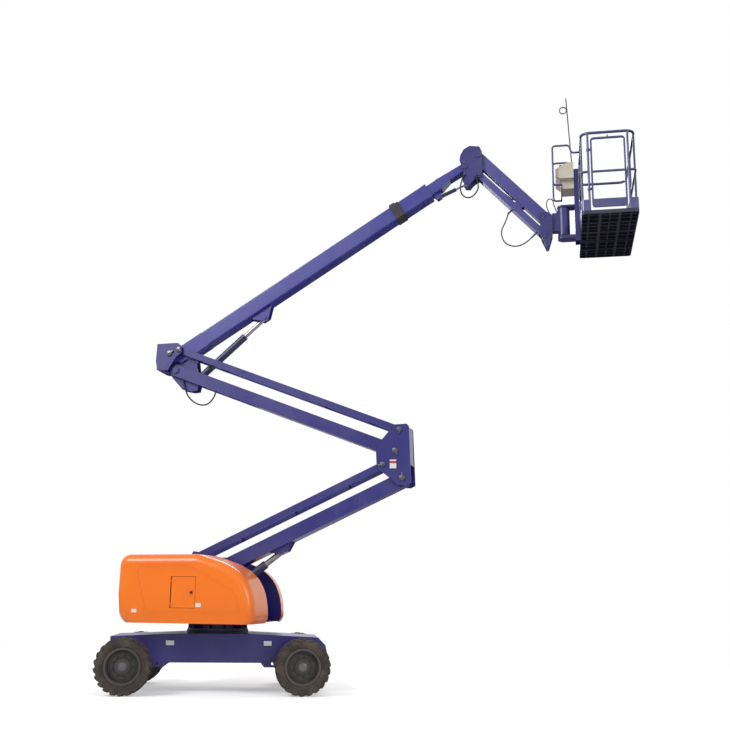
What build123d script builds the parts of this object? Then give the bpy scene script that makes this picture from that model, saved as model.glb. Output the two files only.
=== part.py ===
from build123d import *
from math import atan2, cos, degrees, hypot, radians, sin, tan
import os

# Millimetres and degrees. X runs along the booms to the platform, Z is up, and the
# ground is Z = 0 under the slew axis. A pin is named by its place (X, Z) in the boom plane.

# Clearances
fit_clear = 0.05
seat_clear = 0.3
bearing_clear = 0.5
side_clear = 2
panel_clear = 5

# Chassis, in its own frame, turned under the booms
slew_turn = 16.7
wheelbase = 2280
track = 1900
wheel_radius = 360
tyre_width = 240
rim_radius = 220
rim_lip = 15
chassis_half = 500
chassis_wall = 12
chassis_top = 750
chassis_end_drop = 40
chassis_belly = 377
chassis_foot = 320
chassis_drive_end = 1500
chassis_steer_end = -1380
axle_width = 180
axle_height = 140
axle_half = 620
spindle_radius = 55
hub_radius = 95
king_pin_radius = 25
king_pin_half = 700
yoke_height = 90
yoke_plate = 28
steer_arm_length = 200
steer_arm_inset = 0
tie_rod_radius = 18
lug_radius = 32
plate = 12

# Turret
ring_radius = 420
ring_height = 40
drum_radius = 300
deck_level = 900
deck_plate = 15
deck_half = 975
tower_inner = 205
hood_inner = 340
hood_outer = 1030
hood_wall = 12
hood_round = 120
near_hood_sweep = 0
far_hood_sweep = 150
hinge_height = 1738
hinge_half = 324
hinge_rod = 8
door_left = -306
door_right = 20
door_low = 1088
door_high = 1480

# Riser: two parallelograms stacked on one another
lower_pivot = (-17.5, 1581.5)
lower_angle = 25.5
lower_length = 2900
lower_depth = 190
lower_half = 130
lower_link_offset = (-270, 188)
upright_rise = (-100, 375)
upper_angle = 20.8
upper_length = 3487
upper_depth = 173
upper_half = 145
upper_link_offset = (60, 292)
fork_length = 1350
arm_wall = 8
fork_wall = 10
link_depth = 90
link_inner = 160
link_thick = 20
pin_radius = 30
boss_radius = 58

# Main boom
boom_offset = (-80, 237)
boom_angle = 32.5
boom_drop = 72
boom_depth = 220
boom_half = 120
boom_root = 500
boom_end = 4460
stage_depth = 170
stage_half = 90
stage_wall = 7
stage_start = 720
stage_taper = 4630
stage_tip = 5080
collar_start = 3840
collar_end = 3990
collar_proud = 12

# Gooseneck and jib
goose_inner = 100
jib_offset = (187, 151)
level_offset = (17, -238)
jib_angle = -46.8
jib_length = 1330
jib_depth = 165
jib_half = 60
jib_link_offset = (20, -280)
jib_link_depth = 90
jib_link_half = 85
jib_link_wall = 8
jib_end_inner = 95
small_pin = 22
lug_gap = 60
jib_lug_gap = 40
lug_boss = 8
rotator_x = 4865
rotator_radius = 85
rotator_low = 6240
rotator_high = 6640

# Platform
floor_level = 6260
floor_depth = 55
grating_inset = 46
frame_level = floor_level - 5
platform_start = 5090
platform_width = 740
platform_half = 915
rail_radius = 19
rail_height = 1100
mid_rail_height = 545
rail_corner = 110
gate_drop = 68
toe_height = 150

# Cylinders: barrel radius, rod radius, the barrel's length from its pin, the rod's inner end
lift_cylinder = (58, 40, 700, 440)
main_cylinder = (52, 32, 1050, 620)
level_cylinder = (28, 15, 258, 170)
jib_cylinder = (33, 18, 600, 115)
main_eye_pin = 24


def polar(start, length, angle):
    return (start[0] + length * cos(radians(angle)), start[1] + length * sin(radians(angle)))


def shifted(pin, offset):
    return (pin[0] + offset[0], pin[1] + offset[1])


def placed(outline, pin):
    return [shifted(pin, point) for point in outline]


def local_point(pin, angle, along_arm, above):
    return polar(polar(pin, along_arm, angle), above, angle + 90)


def span(start, end):
    run, rise = end[0] - start[0], end[1] - start[1]
    return hypot(run, rise), degrees(atan2(rise, run))


def side(offset=0):
    return Plane.XZ.offset(offset)


def arm_side(pin, angle, offset=0):
    a = radians(angle)
    level = Plane(origin=(pin[0], 0, pin[1]), x_dir=(cos(a), 0, sin(a)), z_dir=(0, -1, 0))
    return level.offset(offset)


def arm_section(pin, angle, along_arm, above=0):
    a = radians(angle)
    x, z = local_point(pin, angle, along_arm, above)
    return Plane(origin=(x, 0, z), x_dir=(0, 1, 0), z_dir=(cos(a), 0, sin(a)))


def chassis_side(offset=0):
    a = radians(slew_turn)
    level = Plane(origin=(0, 0, 0), x_dir=(cos(a), sin(a), 0), z_dir=(sin(a), -cos(a), 0))
    return level.offset(offset)


def chassis_level(height):
    a = radians(slew_turn)
    return Plane(origin=(0, 0, height), x_dir=(cos(a), sin(a), 0), z_dir=(0, 0, 1))


# Shapes that many pieces share, called inside a part's own block
def cross_bar(pin, radius, half, mode=Mode.ADD):
    with Locations((pin[0], 0, pin[1])):
        Cylinder(radius, 2 * half, rotation=(90, 0, 0), mode=mode)


def side_bosses(pin, radius, inner, outer, mode=Mode.ADD):
    middle = (inner + outer) / 2
    with Locations((pin[0], -middle, pin[1]), (pin[0], middle, pin[1])):
        Cylinder(radius, outer - inner, rotation=(90, 0, 0), mode=mode)


def held_pin(pin, radius, plate_outer):
    cross_bar(pin, radius, plate_outer + plate)
    side_bosses(pin, 1.5 * radius, plate_outer, plate_outer + plate)


def side_plates(outline, inner, thick, rounding=0):
    for across, amount in ((inner, thick), (-inner, -thick)):
        with BuildSketch(side(across)) as shape:
            Polygon(*outline, align=None)
            if rounding:
                fillet(vertices(), rounding)
        extrude(shape.sketch, amount=amount)


def hollow_arm(pin, angle, length, depth, half, wall):
    with BuildSketch(arm_side(pin, angle)) as outside:
        with Locations((length / 2, 0)):
            SlotCenterToCenter(length, depth)
    extrude(outside.sketch, amount=half, both=True)
    with BuildSketch(arm_side(pin, angle)) as inside:
        with Locations((length / 2, 0)):
            Rectangle(length + depth, depth - 2 * wall)
    extrude(inside.sketch, amount=half - wall, both=True, mode=Mode.SUBTRACT)


def twin_link(pin, angle, length, bars):
    for across, amount in ((link_inner, link_thick), (-link_inner, -link_thick)):
        with BuildSketch(arm_side(pin, angle, across)) as bar:
            with Locations((length / 2, 0)):
                SlotCenterToCenter(length, link_depth)
        extrude(bar.sketch, amount=amount)
    for place in bars:
        cross_bar(polar(pin, place, angle), link_depth / 4, link_inner + link_thick / 2)
    for end in (pin, polar(pin, length, angle)):
        cross_bar(end, pin_radius + fit_clear, link_inner + 2 * link_thick, mode=Mode.SUBTRACT)


def box_beam(pin, angle, start, end, above, half, depth, wall):
    with BuildSketch(arm_section(pin, angle, start, above)) as section:
        RectangleRounded(2 * half, depth, 2 * wall)
        RectangleRounded(2 * (half - wall), depth - 2 * wall, wall, mode=Mode.SUBTRACT)
    extrude(section.sketch, amount=end - start)


def barrel(base, tip, sizes, base_pin):
    radius, rod, length, inner_end = sizes
    reach, angle = span(base, tip)
    cross_bar(base, 1.5 * base_pin, 0.9 * radius)
    with BuildSketch(arm_section(base, angle, base_pin)) as tube:
        Circle(radius)
    extrude(tube.sketch, amount=length - base_pin)
    with BuildSketch(arm_section(base, angle, 2.2 * base_pin)) as bore:
        Circle(radius - 6)
    extrude(bore.sketch, amount=length - 2.2 * base_pin, mode=Mode.SUBTRACT)
    with BuildSketch(arm_section(base, angle, length)) as gland:
        Circle(radius)
        Circle(rod + seat_clear, mode=Mode.SUBTRACT)
    extrude(gland.sketch, amount=radius / 2)
    cross_bar(base, base_pin + fit_clear, radius, mode=Mode.SUBTRACT)


def piston_rod(base, tip, sizes, tip_pin, half):
    radius, thickness, length, inner_end = sizes
    reach, angle = span(base, tip)
    with BuildSketch(arm_section(base, angle, inner_end)) as shaft:
        Circle(thickness)
    extrude(shaft.sketch, amount=reach - inner_end)
    cross_bar(tip, 1.5 * tip_pin, half)


# The rod's eye lies free between these lugs, because each cylinder's linkage is opened there
def cylinder_lugs(pin, angle, outline, tip, gap, boss):
    for across, amount in ((gap, plate), (-gap, -plate)):
        with BuildSketch(arm_side(pin, angle, across)) as lug:
            Polygon(*outline, align=None)
        extrude(lug.sketch, amount=amount)
    side_bosses(tip, boss, gap, gap + plate + lug_boss)


# A slot in an arm's underside, where the rod's eye comes close to it at the limits
def eye_slot(pin, angle, start, end, underside, half):
    with BuildSketch(arm_side(pin, angle)) as slot:
        with Locations(((start + end) / 2, underside)):
            Rectangle(end - start, 4 * arm_wall)
    extrude(slot.sketch, amount=half, both=True, mode=Mode.SUBTRACT)


# The sleeves that hold a hose at its ends
def hose_sleeves(route, across, radius, ends=((0, 1), (-1, -2))):
    for end, inward in ends:
        run, angle = span(route[inward], route[end])
        axis = (cos(radians(angle)), 0, sin(radians(angle)))
        with BuildSketch(Plane(origin=(route[end][0], -across, route[end][1]), z_dir=axis)) as ring:
            Circle(1.5 * radius)
        extrude(ring.sketch, amount=20)
        extrude(ring.sketch, amount=-15)


# Pins worked out from the driving sizes
lower_link_pivot = shifted(lower_pivot, lower_link_offset)
upright_pin = polar(lower_pivot, lower_length, lower_angle)
upright_link_pin = shifted(upright_pin, lower_link_offset)
upper_pin = shifted(upright_pin, upright_rise)
upper_link_pin = shifted(upper_pin, upper_link_offset)
knuckle_pin = polar(upper_pin, upper_length, 180 - upper_angle)
knuckle_link_pin = shifted(knuckle_pin, upper_link_offset)
boom_pin = shifted(knuckle_pin, boom_offset)
goose_pin = local_point(boom_pin, boom_angle, stage_tip, -boom_drop)
jib_pin = shifted(goose_pin, jib_offset)
jib_link_pin = shifted(jib_pin, jib_link_offset)
jib_end_pin = polar(jib_pin, jib_length, jib_angle)
jib_end_link_pin = shifted(jib_end_pin, jib_link_offset)
lift_base = shifted(lower_pivot, (94, -348))
lift_tip = local_point(lower_pivot, lower_angle, 964, -145)
main_base = shifted(knuckle_pin, (200, -213))
main_tip = local_point(boom_pin, boom_angle, 1445, -283)
level_base_along = 4530
level_base = local_point(boom_pin, boom_angle, level_base_along, -215)
level_tip = shifted(goose_pin, level_offset)
jib_cylinder_tip = local_point(jib_pin, jib_angle, 950, -120)
tower_outer = tower_inner + plate

half_base = wheelbase / 2
half_track = track / 2

# Hose routes in the boom plane, and how far each hangs to the near side
knuckle_hose_side = 108
goose_hose_side = 128
knuckle_hose = placed(
    ((105, -108), (135, -243), (200, -403), (340, -513), (490, -528), (585, -433), (625, -313), (640, -253)),
    knuckle_pin,
)
goose_hose = placed(
    ((157, -159), (212, -319), (157, -449), (57, -509), (-43, -459), (-68, -339), (-43, -219), (-5, -134)),
    goose_pin,
)
jib_hose = [
    local_point(jib_link_pin, jib_angle, along, above)
    for along, above in (
        (709, -113), (775, -237), (805, -333), (860, -405), (990, -466), (1131, -408), (1209, -270), (1205, -128),
    )
]
rotator_hose = placed(
    ((102, 42), (66, 112), (48, 190), (62, 262), (108, 286), (146, 250), (152, 180), (198, 66)),
    jib_end_pin,
)

# Chassis: a welded box, open underneath, notched over the axles
chassis_outline = (
    (chassis_steer_end, chassis_top - chassis_end_drop),
    (-ring_radius - 40, chassis_top),
    (ring_radius + 40, chassis_top),
    (chassis_drive_end - 140, chassis_top - chassis_end_drop),
    (chassis_drive_end - 40, chassis_top - 140),
    (chassis_drive_end, chassis_belly + 60),
    (chassis_drive_end - 40, chassis_foot),
    (647, chassis_foot),
    (600, chassis_belly),
    (-600, chassis_belly),
    (-676, chassis_foot),
    (chassis_steer_end + 40, chassis_foot),
    (chassis_steer_end, chassis_belly + 60),
)

with BuildPart() as chassis_frame:
    with BuildSketch(chassis_side()):
        Polygon(*chassis_outline, align=None)
    extrude(amount=chassis_half, both=True)
    with BuildSketch(chassis_side()):
        Polygon(*chassis_outline, align=None)
        offset(amount=-chassis_wall, kind=Kind.INTERSECTION, mode=Mode.REPLACE)
        with Locations((0, chassis_foot)):
            Rectangle(2 * 1280, 2 * 120)
    extrude(amount=chassis_half - chassis_wall, both=True, mode=Mode.SUBTRACT)
    with BuildSketch(chassis_side()):
        with Locations((-half_base, 0), (half_base, 0)):
            Rectangle(axle_width, 2 * (wheel_radius + axle_height / 2))
    extrude(amount=chassis_half + plate, both=True, mode=Mode.SUBTRACT)
    # Tie-down lugs, one by each wheel
    for across, thick in ((chassis_half, plate), (-chassis_half, -plate)):
        with BuildSketch(chassis_side(across)):
            with Locations((-760, chassis_foot + 50), (760, chassis_foot + 50)):
                Rectangle(90, 90)
                Circle(20, mode=Mode.SUBTRACT)
        extrude(amount=thick)
    for across in (chassis_half + plate, -chassis_half - plate):
        with BuildSketch(chassis_side(across)):
            with Locations((-760, chassis_foot + 50), (760, chassis_foot + 50)):
                Circle(20)
        extrude(amount=-4 * plate if across > 0 else 4 * plate, mode=Mode.SUBTRACT)
chassis_frame.part.label = "chassis_frame"

# Slew ring, fixed on the chassis
with BuildPart() as slew_ring:
    with BuildSketch(chassis_level(chassis_top)):
        Circle(ring_radius)
        Circle(ring_radius - 130, mode=Mode.SUBTRACT)
    extrude(amount=ring_height)
slew_ring.part.label = "slew_ring"

# Drive axle: a beam in the chassis notch, with a gearbox and a spindle at each end
with BuildPart() as drive_axle:
    with BuildSketch(chassis_side()):
        with Locations((half_base, wheel_radius)):
            Rectangle(axle_width, axle_height)
    extrude(amount=axle_half, both=True)
    for direction in (1, -1):
        # outer reach, radius
        for start, end, radius in ((axle_half, 780, 130), (780, half_track + 20, spindle_radius)):
            with BuildSketch(chassis_side(direction * start)):
                with Locations((half_base, wheel_radius)):
                    Circle(radius)
            extrude(amount=direction * (end - start))
drive_axle.part.label = "drive_axle"

# Steering axle: a beam with a yoke at each end for the king pin
with BuildPart() as steer_axle:
    with BuildSketch(chassis_side()):
        with Locations((-half_base, wheel_radius)):
            Rectangle(axle_width, axle_height)
    extrude(amount=axle_half, both=True)
    yoke_half = axle_height / 2
    for low in (wheel_radius + yoke_half - yoke_plate, wheel_radius - yoke_half):
        with BuildSketch(chassis_level(low)):
            with Locations((-half_base, 0)):
                SlotCenterToCenter(2 * king_pin_half, 90, rotation=90)
        extrude(amount=yoke_plate)
    with BuildSketch(chassis_level(wheel_radius - yoke_half - 10)):
        with Locations((-half_base, -king_pin_half), (-half_base, king_pin_half)):
            Circle(king_pin_radius)
    extrude(amount=axle_height + 20)
steer_axle.part.label = "steer_axle"

# Steering knuckles: a boss on the king pin, a spindle, and an arm to the tie rod
knuckle_height = axle_height - 2 * yoke_plate - 2 * bearing_clear
arm_level = chassis_foot - 26
knuckles = {}
for name, direction in (("knuckle_near", 1), ("knuckle_far", -1)):
    with BuildPart() as knuckle:
        low = wheel_radius - knuckle_height / 2
        with BuildSketch(chassis_level(low)):
            with Locations((-half_base, -direction * king_pin_half)):
                Circle(45)
        extrude(amount=knuckle_height)
        with BuildSketch(chassis_side(direction * (king_pin_half + 30))):
            with Locations((-half_base, wheel_radius)):
                Circle(knuckle_height / 2)
        extrude(amount=direction * 50)
        with BuildSketch(chassis_side(direction * (king_pin_half + 52))):
            with Locations((-half_base, wheel_radius)):
                Circle(75)
        extrude(amount=direction * 26)
        with BuildSketch(chassis_side(direction * (king_pin_half + 78))):
            with Locations((-half_base, wheel_radius)):
                Circle(spindle_radius)
        extrude(amount=direction * (half_track + 20 - king_pin_half - 78))
        # The arm drops outside the yoke and runs inboard to the tie rod's pin
        outer = king_pin_half + 65
        with BuildSketch(chassis_level(arm_level)):
            with Locations((-half_base + 40, -direction * outer)):
                Rectangle(130, 26)
            with BuildLine():
                Polyline(
                    (-half_base + 60, -direction * (outer + 13)),
                    (-half_base + steer_arm_length + 20, -direction * (king_pin_half - 10)),
                    (-half_base + steer_arm_length + 20, -direction * (king_pin_half - 70)),
                    (-half_base + steer_arm_length - 20, -direction * (king_pin_half - 70)),
                    (-half_base + 60, -direction * (outer - 13)),
                    close=True,
                )
            make_face()
        extrude(amount=20)
        with BuildSketch(chassis_level(arm_level)):
            with Locations((-half_base + 10, -direction * outer)):
                Rectangle(70, 26)
        extrude(amount=wheel_radius - arm_level)
        with BuildSketch(chassis_level(arm_level)):
            with Locations((-half_base + steer_arm_length, -direction * (king_pin_half - steer_arm_inset))):
                Circle(11)
        extrude(amount=-40)
        with BuildSketch(chassis_level(low - 1)):
            with Locations((-half_base, -direction * king_pin_half)):
                Circle(king_pin_radius + fit_clear)
        extrude(amount=knuckle_height + 2, mode=Mode.SUBTRACT)
    knuckle.part.label = name
    knuckles[name] = knuckle

with BuildPart() as tie_rod:
    tie_y = king_pin_half - steer_arm_inset
    tie_level = arm_level - bearing_clear - tie_rod_radius
    tie_x = -half_base + steer_arm_length
    with BuildSketch(chassis_side(tie_y)):
        with Locations((tie_x, tie_level)):
            Circle(tie_rod_radius - 4)
    extrude(amount=-2 * tie_y)
    with BuildSketch(chassis_level(tie_level - tie_rod_radius)):
        with Locations((tie_x, -tie_y), (tie_x, tie_y)):
            Circle(28)
    extrude(amount=2 * tie_rod_radius)
    with BuildSketch(chassis_level(tie_level - 2 * tie_rod_radius)):
        with Locations((tie_x, -tie_y), (tie_x, tie_y)):
            Circle(11 + fit_clear)
    extrude(amount=4 * tie_rod_radius, mode=Mode.SUBTRACT)
tie_rod.part.label = "tie_rod"

# Wheels: a pressed rim with its disc and hub, and a solid-looking lugged tyre
wheels = {}
for end, centre, cap in (("steer", -half_base, 60), ("drive", half_base, 80)):
    for where, direction in (("near", 1), ("far", -1)):
        inner = half_track - tyre_width / 2
        axis = Axis((centre, wheel_radius), (0, 1))
        with BuildPart() as rim:
            for start, end_at, outside, bore in (
                (inner + 22, inner + tyre_width - 22, rim_radius, rim_radius - rim_lip),
                (inner + 14, inner + 22, rim_radius + rim_lip, rim_radius - rim_lip),
                (inner + tyre_width - 22, inner + tyre_width - 14, rim_radius + rim_lip, rim_radius - rim_lip),
                (half_track - 5, half_track + 10, rim_radius - rim_lip, spindle_radius + fit_clear),
                (half_track - 55, half_track + 30, hub_radius, spindle_radius + fit_clear),
                (half_track + 30, half_track + 45, hub_radius, 0),
                (half_track + 45, half_track + cap, hub_radius - 25, 0),
            ):
                with BuildSketch(chassis_side(direction * start)):
                    with Locations((centre, wheel_radius)):
                        Circle(outside)
                        if bore:
                            Circle(bore, mode=Mode.SUBTRACT)
                extrude(amount=direction * (end_at - start))
        rim.part.label = f"{end}_rim_{where}"
        wheels[rim.part.label] = rim
        with BuildPart() as tyre:
            with BuildSketch(chassis_side(direction * inner)):
                with Locations((centre, wheel_radius)):
                    Circle(wheel_radius)
            extrude(amount=direction * tyre_width)
            chamfer(edges().filter_by(GeomType.CIRCLE), 34, 18)
            with BuildSketch(chassis_side(direction * (inner + 22 + seat_clear))):
                with Locations((centre, wheel_radius)):
                    Circle(rim_radius + seat_clear)
            extrude(amount=direction * (tyre_width - 44 - 2 * seat_clear), mode=Mode.SUBTRACT)
            for face in (inner, inner + tyre_width):
                into = 1 if face == inner else -1
                with BuildSketch(chassis_side(direction * face)):
                    with Locations((centre, wheel_radius)):
                        Circle(rim_radius + rim_lip + 6)
                extrude(amount=direction * into * (22 + seat_clear), mode=Mode.SUBTRACT)
        tyre.part.label = f"{end}_tyre_{where}"
        wheels[tyre.part.label] = tyre

# Turret frame: a drum on the slew ring, a deck, two towers and the hood hinge rails
deck_outline = (
    (-920, -880), (-840, -deck_half), (640, -deck_half), (760, -600),
    (700, 600), (600, deck_half), (-840, deck_half), (-920, 880),
)
tower_outline = (
    (-520, deck_level),
    (420, deck_level),
    (150, 1490),
    (80, 1650),
    (-40, 1690),
    (-230, 1830),
    (-330, 1840),
    (-370, 1760),
    (-420, 1500),
)
bulkhead_outline = (
    (-728, deck_level),
    (-728, hinge_height),
    (40, hinge_height),
    (405, 1646),
    (620, 1514),
    (744, 1326),
    (799, 1080),
    (794, 950),
    (766, deck_level),
)
drum_low = chassis_top + ring_height + bearing_clear
with BuildPart() as turret_frame:
    for radius, top in ((ring_radius - 10, drum_low + 20), (drum_radius, deck_level)):
        with BuildSketch(Plane.XY.offset(drum_low)):
            Circle(radius)
            Circle(ring_radius - 180, mode=Mode.SUBTRACT)
        extrude(amount=top - drum_low)
    gusset_reach = ring_radius - 10 - drum_radius
    with Locations((0, 0, (drum_low + deck_level) / 2)):
        with PolarLocations(drum_radius + gusset_reach / 2 - 8, 10, 18):
            Box(gusset_reach, plate, deck_level - drum_low)
    with BuildSketch(Plane.XY.offset(chassis_top + panel_clear)):
        Circle(ring_radius - 130 - bearing_clear)
        Circle(ring_radius - 180, mode=Mode.SUBTRACT)
    extrude(amount=drum_low - chassis_top - panel_clear)
    with BuildSketch(Plane.XY.offset(deck_level)):
        Polygon(*deck_outline, align=None)
    extrude(amount=deck_plate)
    side_plates(tower_outline, tower_inner, plate)
    # Cross plates tie the towers together behind and before the cylinder
    for x, top in ((-470, 1400), (300, 1090)):
        with BuildSketch(Plane.XY.offset(deck_level)):
            with Locations((x, 0)):
                Rectangle(plate, 2 * tower_inner)
        extrude(amount=top - deck_level)
    # Bulkheads under the hood hinges, with the hinge rod along the top
    for across in (1, -1):
        with BuildSketch(side(across * (hinge_half - 6))):
            Polygon(*bulkhead_outline, align=None)
            with Locations((-620, hinge_height), (20, hinge_height)):
                Rectangle(140, 60, mode=Mode.SUBTRACT)
        extrude(amount=across * plate)
        with BuildSketch(Plane.YZ.offset(-750)):
            with Locations((-across * hinge_half, hinge_height)):
                Circle(hinge_rod)
        extrude(amount=900)
    held_pin(lower_pivot, pin_radius, tower_outer)
    held_pin(lower_link_pivot, pin_radius, tower_outer)
    held_pin(lift_base, pin_radius, tower_outer)
turret_frame.part.label = "turret_frame"

# Counterweight: one casting at the tail
with BuildPart() as counterweight:
    with BuildSketch(Plane.XY.offset(deck_level + deck_plate)):
        with Locations((-860, 0)):
            Rectangle(380, 600)
        with Locations((-830, 0)):
            Rectangle(190, 1820)
    extrude(amount=330)
    with BuildSketch(Plane.XY.offset(deck_level + deck_plate + 330)):
        with Locations((-860, 0)):
            Rectangle(380, 600)
    extrude(amount=230)
    fillet(edges().filter_by(Axis.Z).sort_by(Axis.X)[:2], 40)
counterweight.part.label = "counterweight"

# Engine: one plain block behind the far hood
with BuildPart() as engine_block:
    with BuildSketch(Plane.XY.offset(deck_level + deck_plate)):
        with Locations((-200, 640)):
            Rectangle(620, 360)
    extrude(amount=520)
engine_block.part.label = "engine_block"

# Hoods: moulded shells, open inboard and underneath
hood_outline = (
    (-960, deck_level - 10),
    (-1040, deck_level + 60),
    (-1075, 1250),
    (-1070, 1680),
    (-990, 1766),
    (30, 1776),
    (412, 1662),
    (632, 1525),
    (757, 1330),
    (812, 1080),
    (807, 950),
    (772, deck_level - 10),
)
# The inside runs on below the hood's edge, so the cut leaves it open underneath
hood_hollow = ((-914, deck_level - 50), *hood_outline[1:-1], (749, deck_level - 50))


# A hood's form: its front sweeps back from the inboard edge to the side panel
def hood_form(outline, inner, outer, sweep_back, rounding, inset):
    with BuildPart() as form:
        for across, back in ((inner, 0), (outer, sweep_back)):
            with BuildSketch(side(across)):
                Polygon(*[(x - back if x > 200 else x, z) for x, z in outline], align=None)
                if inset:
                    offset(amount=-inset, kind=Kind.INTERSECTION, mode=Mode.REPLACE)
        loft(ruled=True)
        fillet(faces().sort_by(Axis.Y)[0].edges().sort_by(Axis.Z)[1:], rounding)
    return form.part


hood_forms = {}
for about, back in ((1, near_hood_sweep), (-1, far_hood_sweep)):
    outside = hood_form(hood_outline, hood_inner, hood_outer, back, hood_round, 0)
    inside = hood_form(
        hood_hollow, hood_inner - 1, hood_outer - hood_wall, back, hood_round - hood_wall, hood_wall
    )
    hood_forms[about] = (outside, inside) if about == 1 else (outside.mirror(Plane.XZ), inside.mirror(Plane.XZ))

door_width = door_right - door_left
door_height = door_high - door_low
door_middle = ((door_left + door_right) / 2, (door_low + door_high) / 2)
hinge_line = -hood_outer - 6.3
hoods = {}
for name, about in (("hood_near", 1), ("hood_far", -1)):
    with BuildPart() as hood:
        add(hood_forms[about][0])
        add(hood_forms[about][1], mode=Mode.SUBTRACT)
        # Hinge tubes round the turret's rods, each on a leaf under the top panel
        for x in (-620, 20):
            with Locations((x, -about * (hinge_half + 30), hinge_height + 18)):
                Box(80, 76, 20)
            with Locations((x, -about * hinge_half, hinge_height)):
                Cylinder(14, 80, rotation=(0, 90, 0))
                Cylinder(hinge_rod + fit_clear, 82, rotation=(0, 90, 0), mode=Mode.SUBTRACT)
        if about == 1:
            with BuildSketch(side(hood_outer + 1)):
                with Locations(door_middle):
                    Rectangle(door_width + 2 * panel_clear, door_height + 2 * panel_clear)
            extrude(amount=-2 * hood_wall, mode=Mode.SUBTRACT)
            for z in (door_low + 50, door_high - 50):
                with Locations((door_left - 2.5 - 20, hinge_line, z - 20), (door_left - 22.5, hinge_line, z + 20)):
                    Box(40, 4, 16)
                with Locations((door_left - 2.5, hinge_line, z - 20), (door_left - 2.5, hinge_line, z + 20)):
                    Cylinder(6, 16)
                with Locations((door_left - 29, hinge_line + 3, z)):
                    Box(36, 8, 56)
                with Locations((door_left - 2.5, hinge_line, z)):
                    Cylinder(3, 40)
    hood.part.label = name
    hoods[name] = hood

# Access door in the near hood, hung on two small hinges
with BuildPart() as access_door:
    with BuildSketch(side(hood_outer - hood_wall)):
        with Locations(door_middle):
            RectangleRounded(door_width, door_height, 8)
    extrude(amount=hood_wall)
    for z in (door_low + 50, door_high - 50):
        with Locations((door_left + 17, hinge_line + 2.15, z)):
            Box(39, 8.3, 22)
        with Locations((door_left - 2.5, hinge_line, z)):
            Cylinder(6, 22)
            Cylinder(3 + fit_clear, 24, mode=Mode.SUBTRACT)
    with Locations((door_right - 67, -hood_outer - 3, (door_low + door_high) / 2 + 8)):
        Box(60, 6, 90)
access_door.part.label = "access_door"

# Beacon on the far hood
with BuildPart() as beacon:
    with Locations((240, 520, 1690)):
        Cylinder(45, 102, align=(Align.CENTER, Align.CENTER, Align.MIN))
    with Locations((240, 520, 1792)):
        Cylinder(38, 110, align=(Align.CENTER, Align.CENTER, Align.MIN))
    fillet(faces().sort_by(Axis.Z)[-1].edges(), 18)
    add(hood_forms[-1][0], mode=Mode.SUBTRACT)
beacon.part.label = "beacon"

# Lower lift cylinder, from the towers to the lower arm
with BuildPart() as lift_barrel:
    barrel(lift_base, lift_tip, lift_cylinder, pin_radius)
lift_barrel.part.label = "lift_barrel"

with BuildPart() as lift_rod:
    piston_rod(lift_base, lift_tip, lift_cylinder, pin_radius, lug_gap - 6)
lift_rod.part.label = "lift_rod"

# Lower arm: a box between two pins, with lugs below for the cylinder
with BuildPart() as lower_arm:
    hollow_arm(lower_pivot, lower_angle, lower_length, lower_depth, lower_half, arm_wall)
    for end in (lower_pivot, upright_pin):
        cross_bar(end, boss_radius, link_inner - side_clear)
    along_tip = 964
    lift_lug = (
        (along_tip - 190, -lower_depth / 2 + 4),
        (along_tip + 190, -lower_depth / 2 + 4),
        (along_tip + 60, -188),
        (along_tip - 60, -188),
    )
    eye_slot(lower_pivot, lower_angle, along_tip - 115, along_tip + 70, -lower_depth / 2, lug_gap - 2)
    cylinder_lugs(lower_pivot, lower_angle, lift_lug, lift_tip, lug_gap, 1.5 * pin_radius)
    for end in (lower_pivot, upright_pin):
        cross_bar(end, pin_radius + fit_clear, link_inner, mode=Mode.SUBTRACT)
lower_arm.part.label = "lower_arm"

with BuildPart() as lower_link:
    twin_link(lower_link_pivot, lower_angle, lower_length, (600, 1450, 2300))
lower_link.part.label = "lower_link"

# Mid upright: two plates that carry both ends of both parallelograms
upright_outline = (
    (-104, 737), (57, 745), (90, 713), (122, -70), (60, -100), (-60, -95),
    (-310, 110), (-355, 181), (-367, 381), (-284, 533), (-174, 662),
)
with BuildPart() as mid_upright:
    side_plates(placed(upright_outline, upright_pin), tower_inner, plate, 12)
    with BuildSketch(side()):
        Polygon(*placed(((75, 700), (87, 700), (104, 190), (92, 190)), upright_pin), align=None)
    extrude(amount=tower_inner, both=True)
    for pin in (upright_pin, upright_link_pin, upper_pin, upper_link_pin):
        held_pin(pin, pin_radius, tower_outer)
mid_upright.part.label = "mid_upright"

# Upper arm: runs back over the turret and ends in a fork for the boom and its cylinder
with BuildPart() as upper_arm:
    hollow_arm(upper_pin, 180 - upper_angle, upper_length, upper_depth, upper_half, fork_wall)
    cross_bar(upper_pin, boss_radius, link_inner - side_clear)
    side_bosses(knuckle_pin, boss_radius, upper_half - fork_wall, link_inner - side_clear)
    with BuildSketch(arm_side(upper_pin, 180 - upper_angle)):
        with Locations((upper_length, 0)):
            Rectangle(2 * fork_length, 2 * upper_depth)
    extrude(amount=upper_half - fork_wall, both=True, mode=Mode.SUBTRACT)
    for end in (upper_pin, knuckle_pin):
        cross_bar(end, pin_radius + fit_clear, link_inner, mode=Mode.SUBTRACT)
    hose_sleeves(knuckle_hose, knuckle_hose_side, 11)
    with BuildSketch(side(knuckle_hose_side)):
        with Locations(knuckle_hose[0], knuckle_hose[-1]):
            Circle(12)
    extrude(amount=upper_half - 2 - knuckle_hose_side)
upper_arm.part.label = "upper_arm"

with BuildPart() as upper_link:
    twin_link(upper_link_pin, 180 - upper_angle, upper_length, (500, 1200))
upper_link.part.label = "upper_link"

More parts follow.
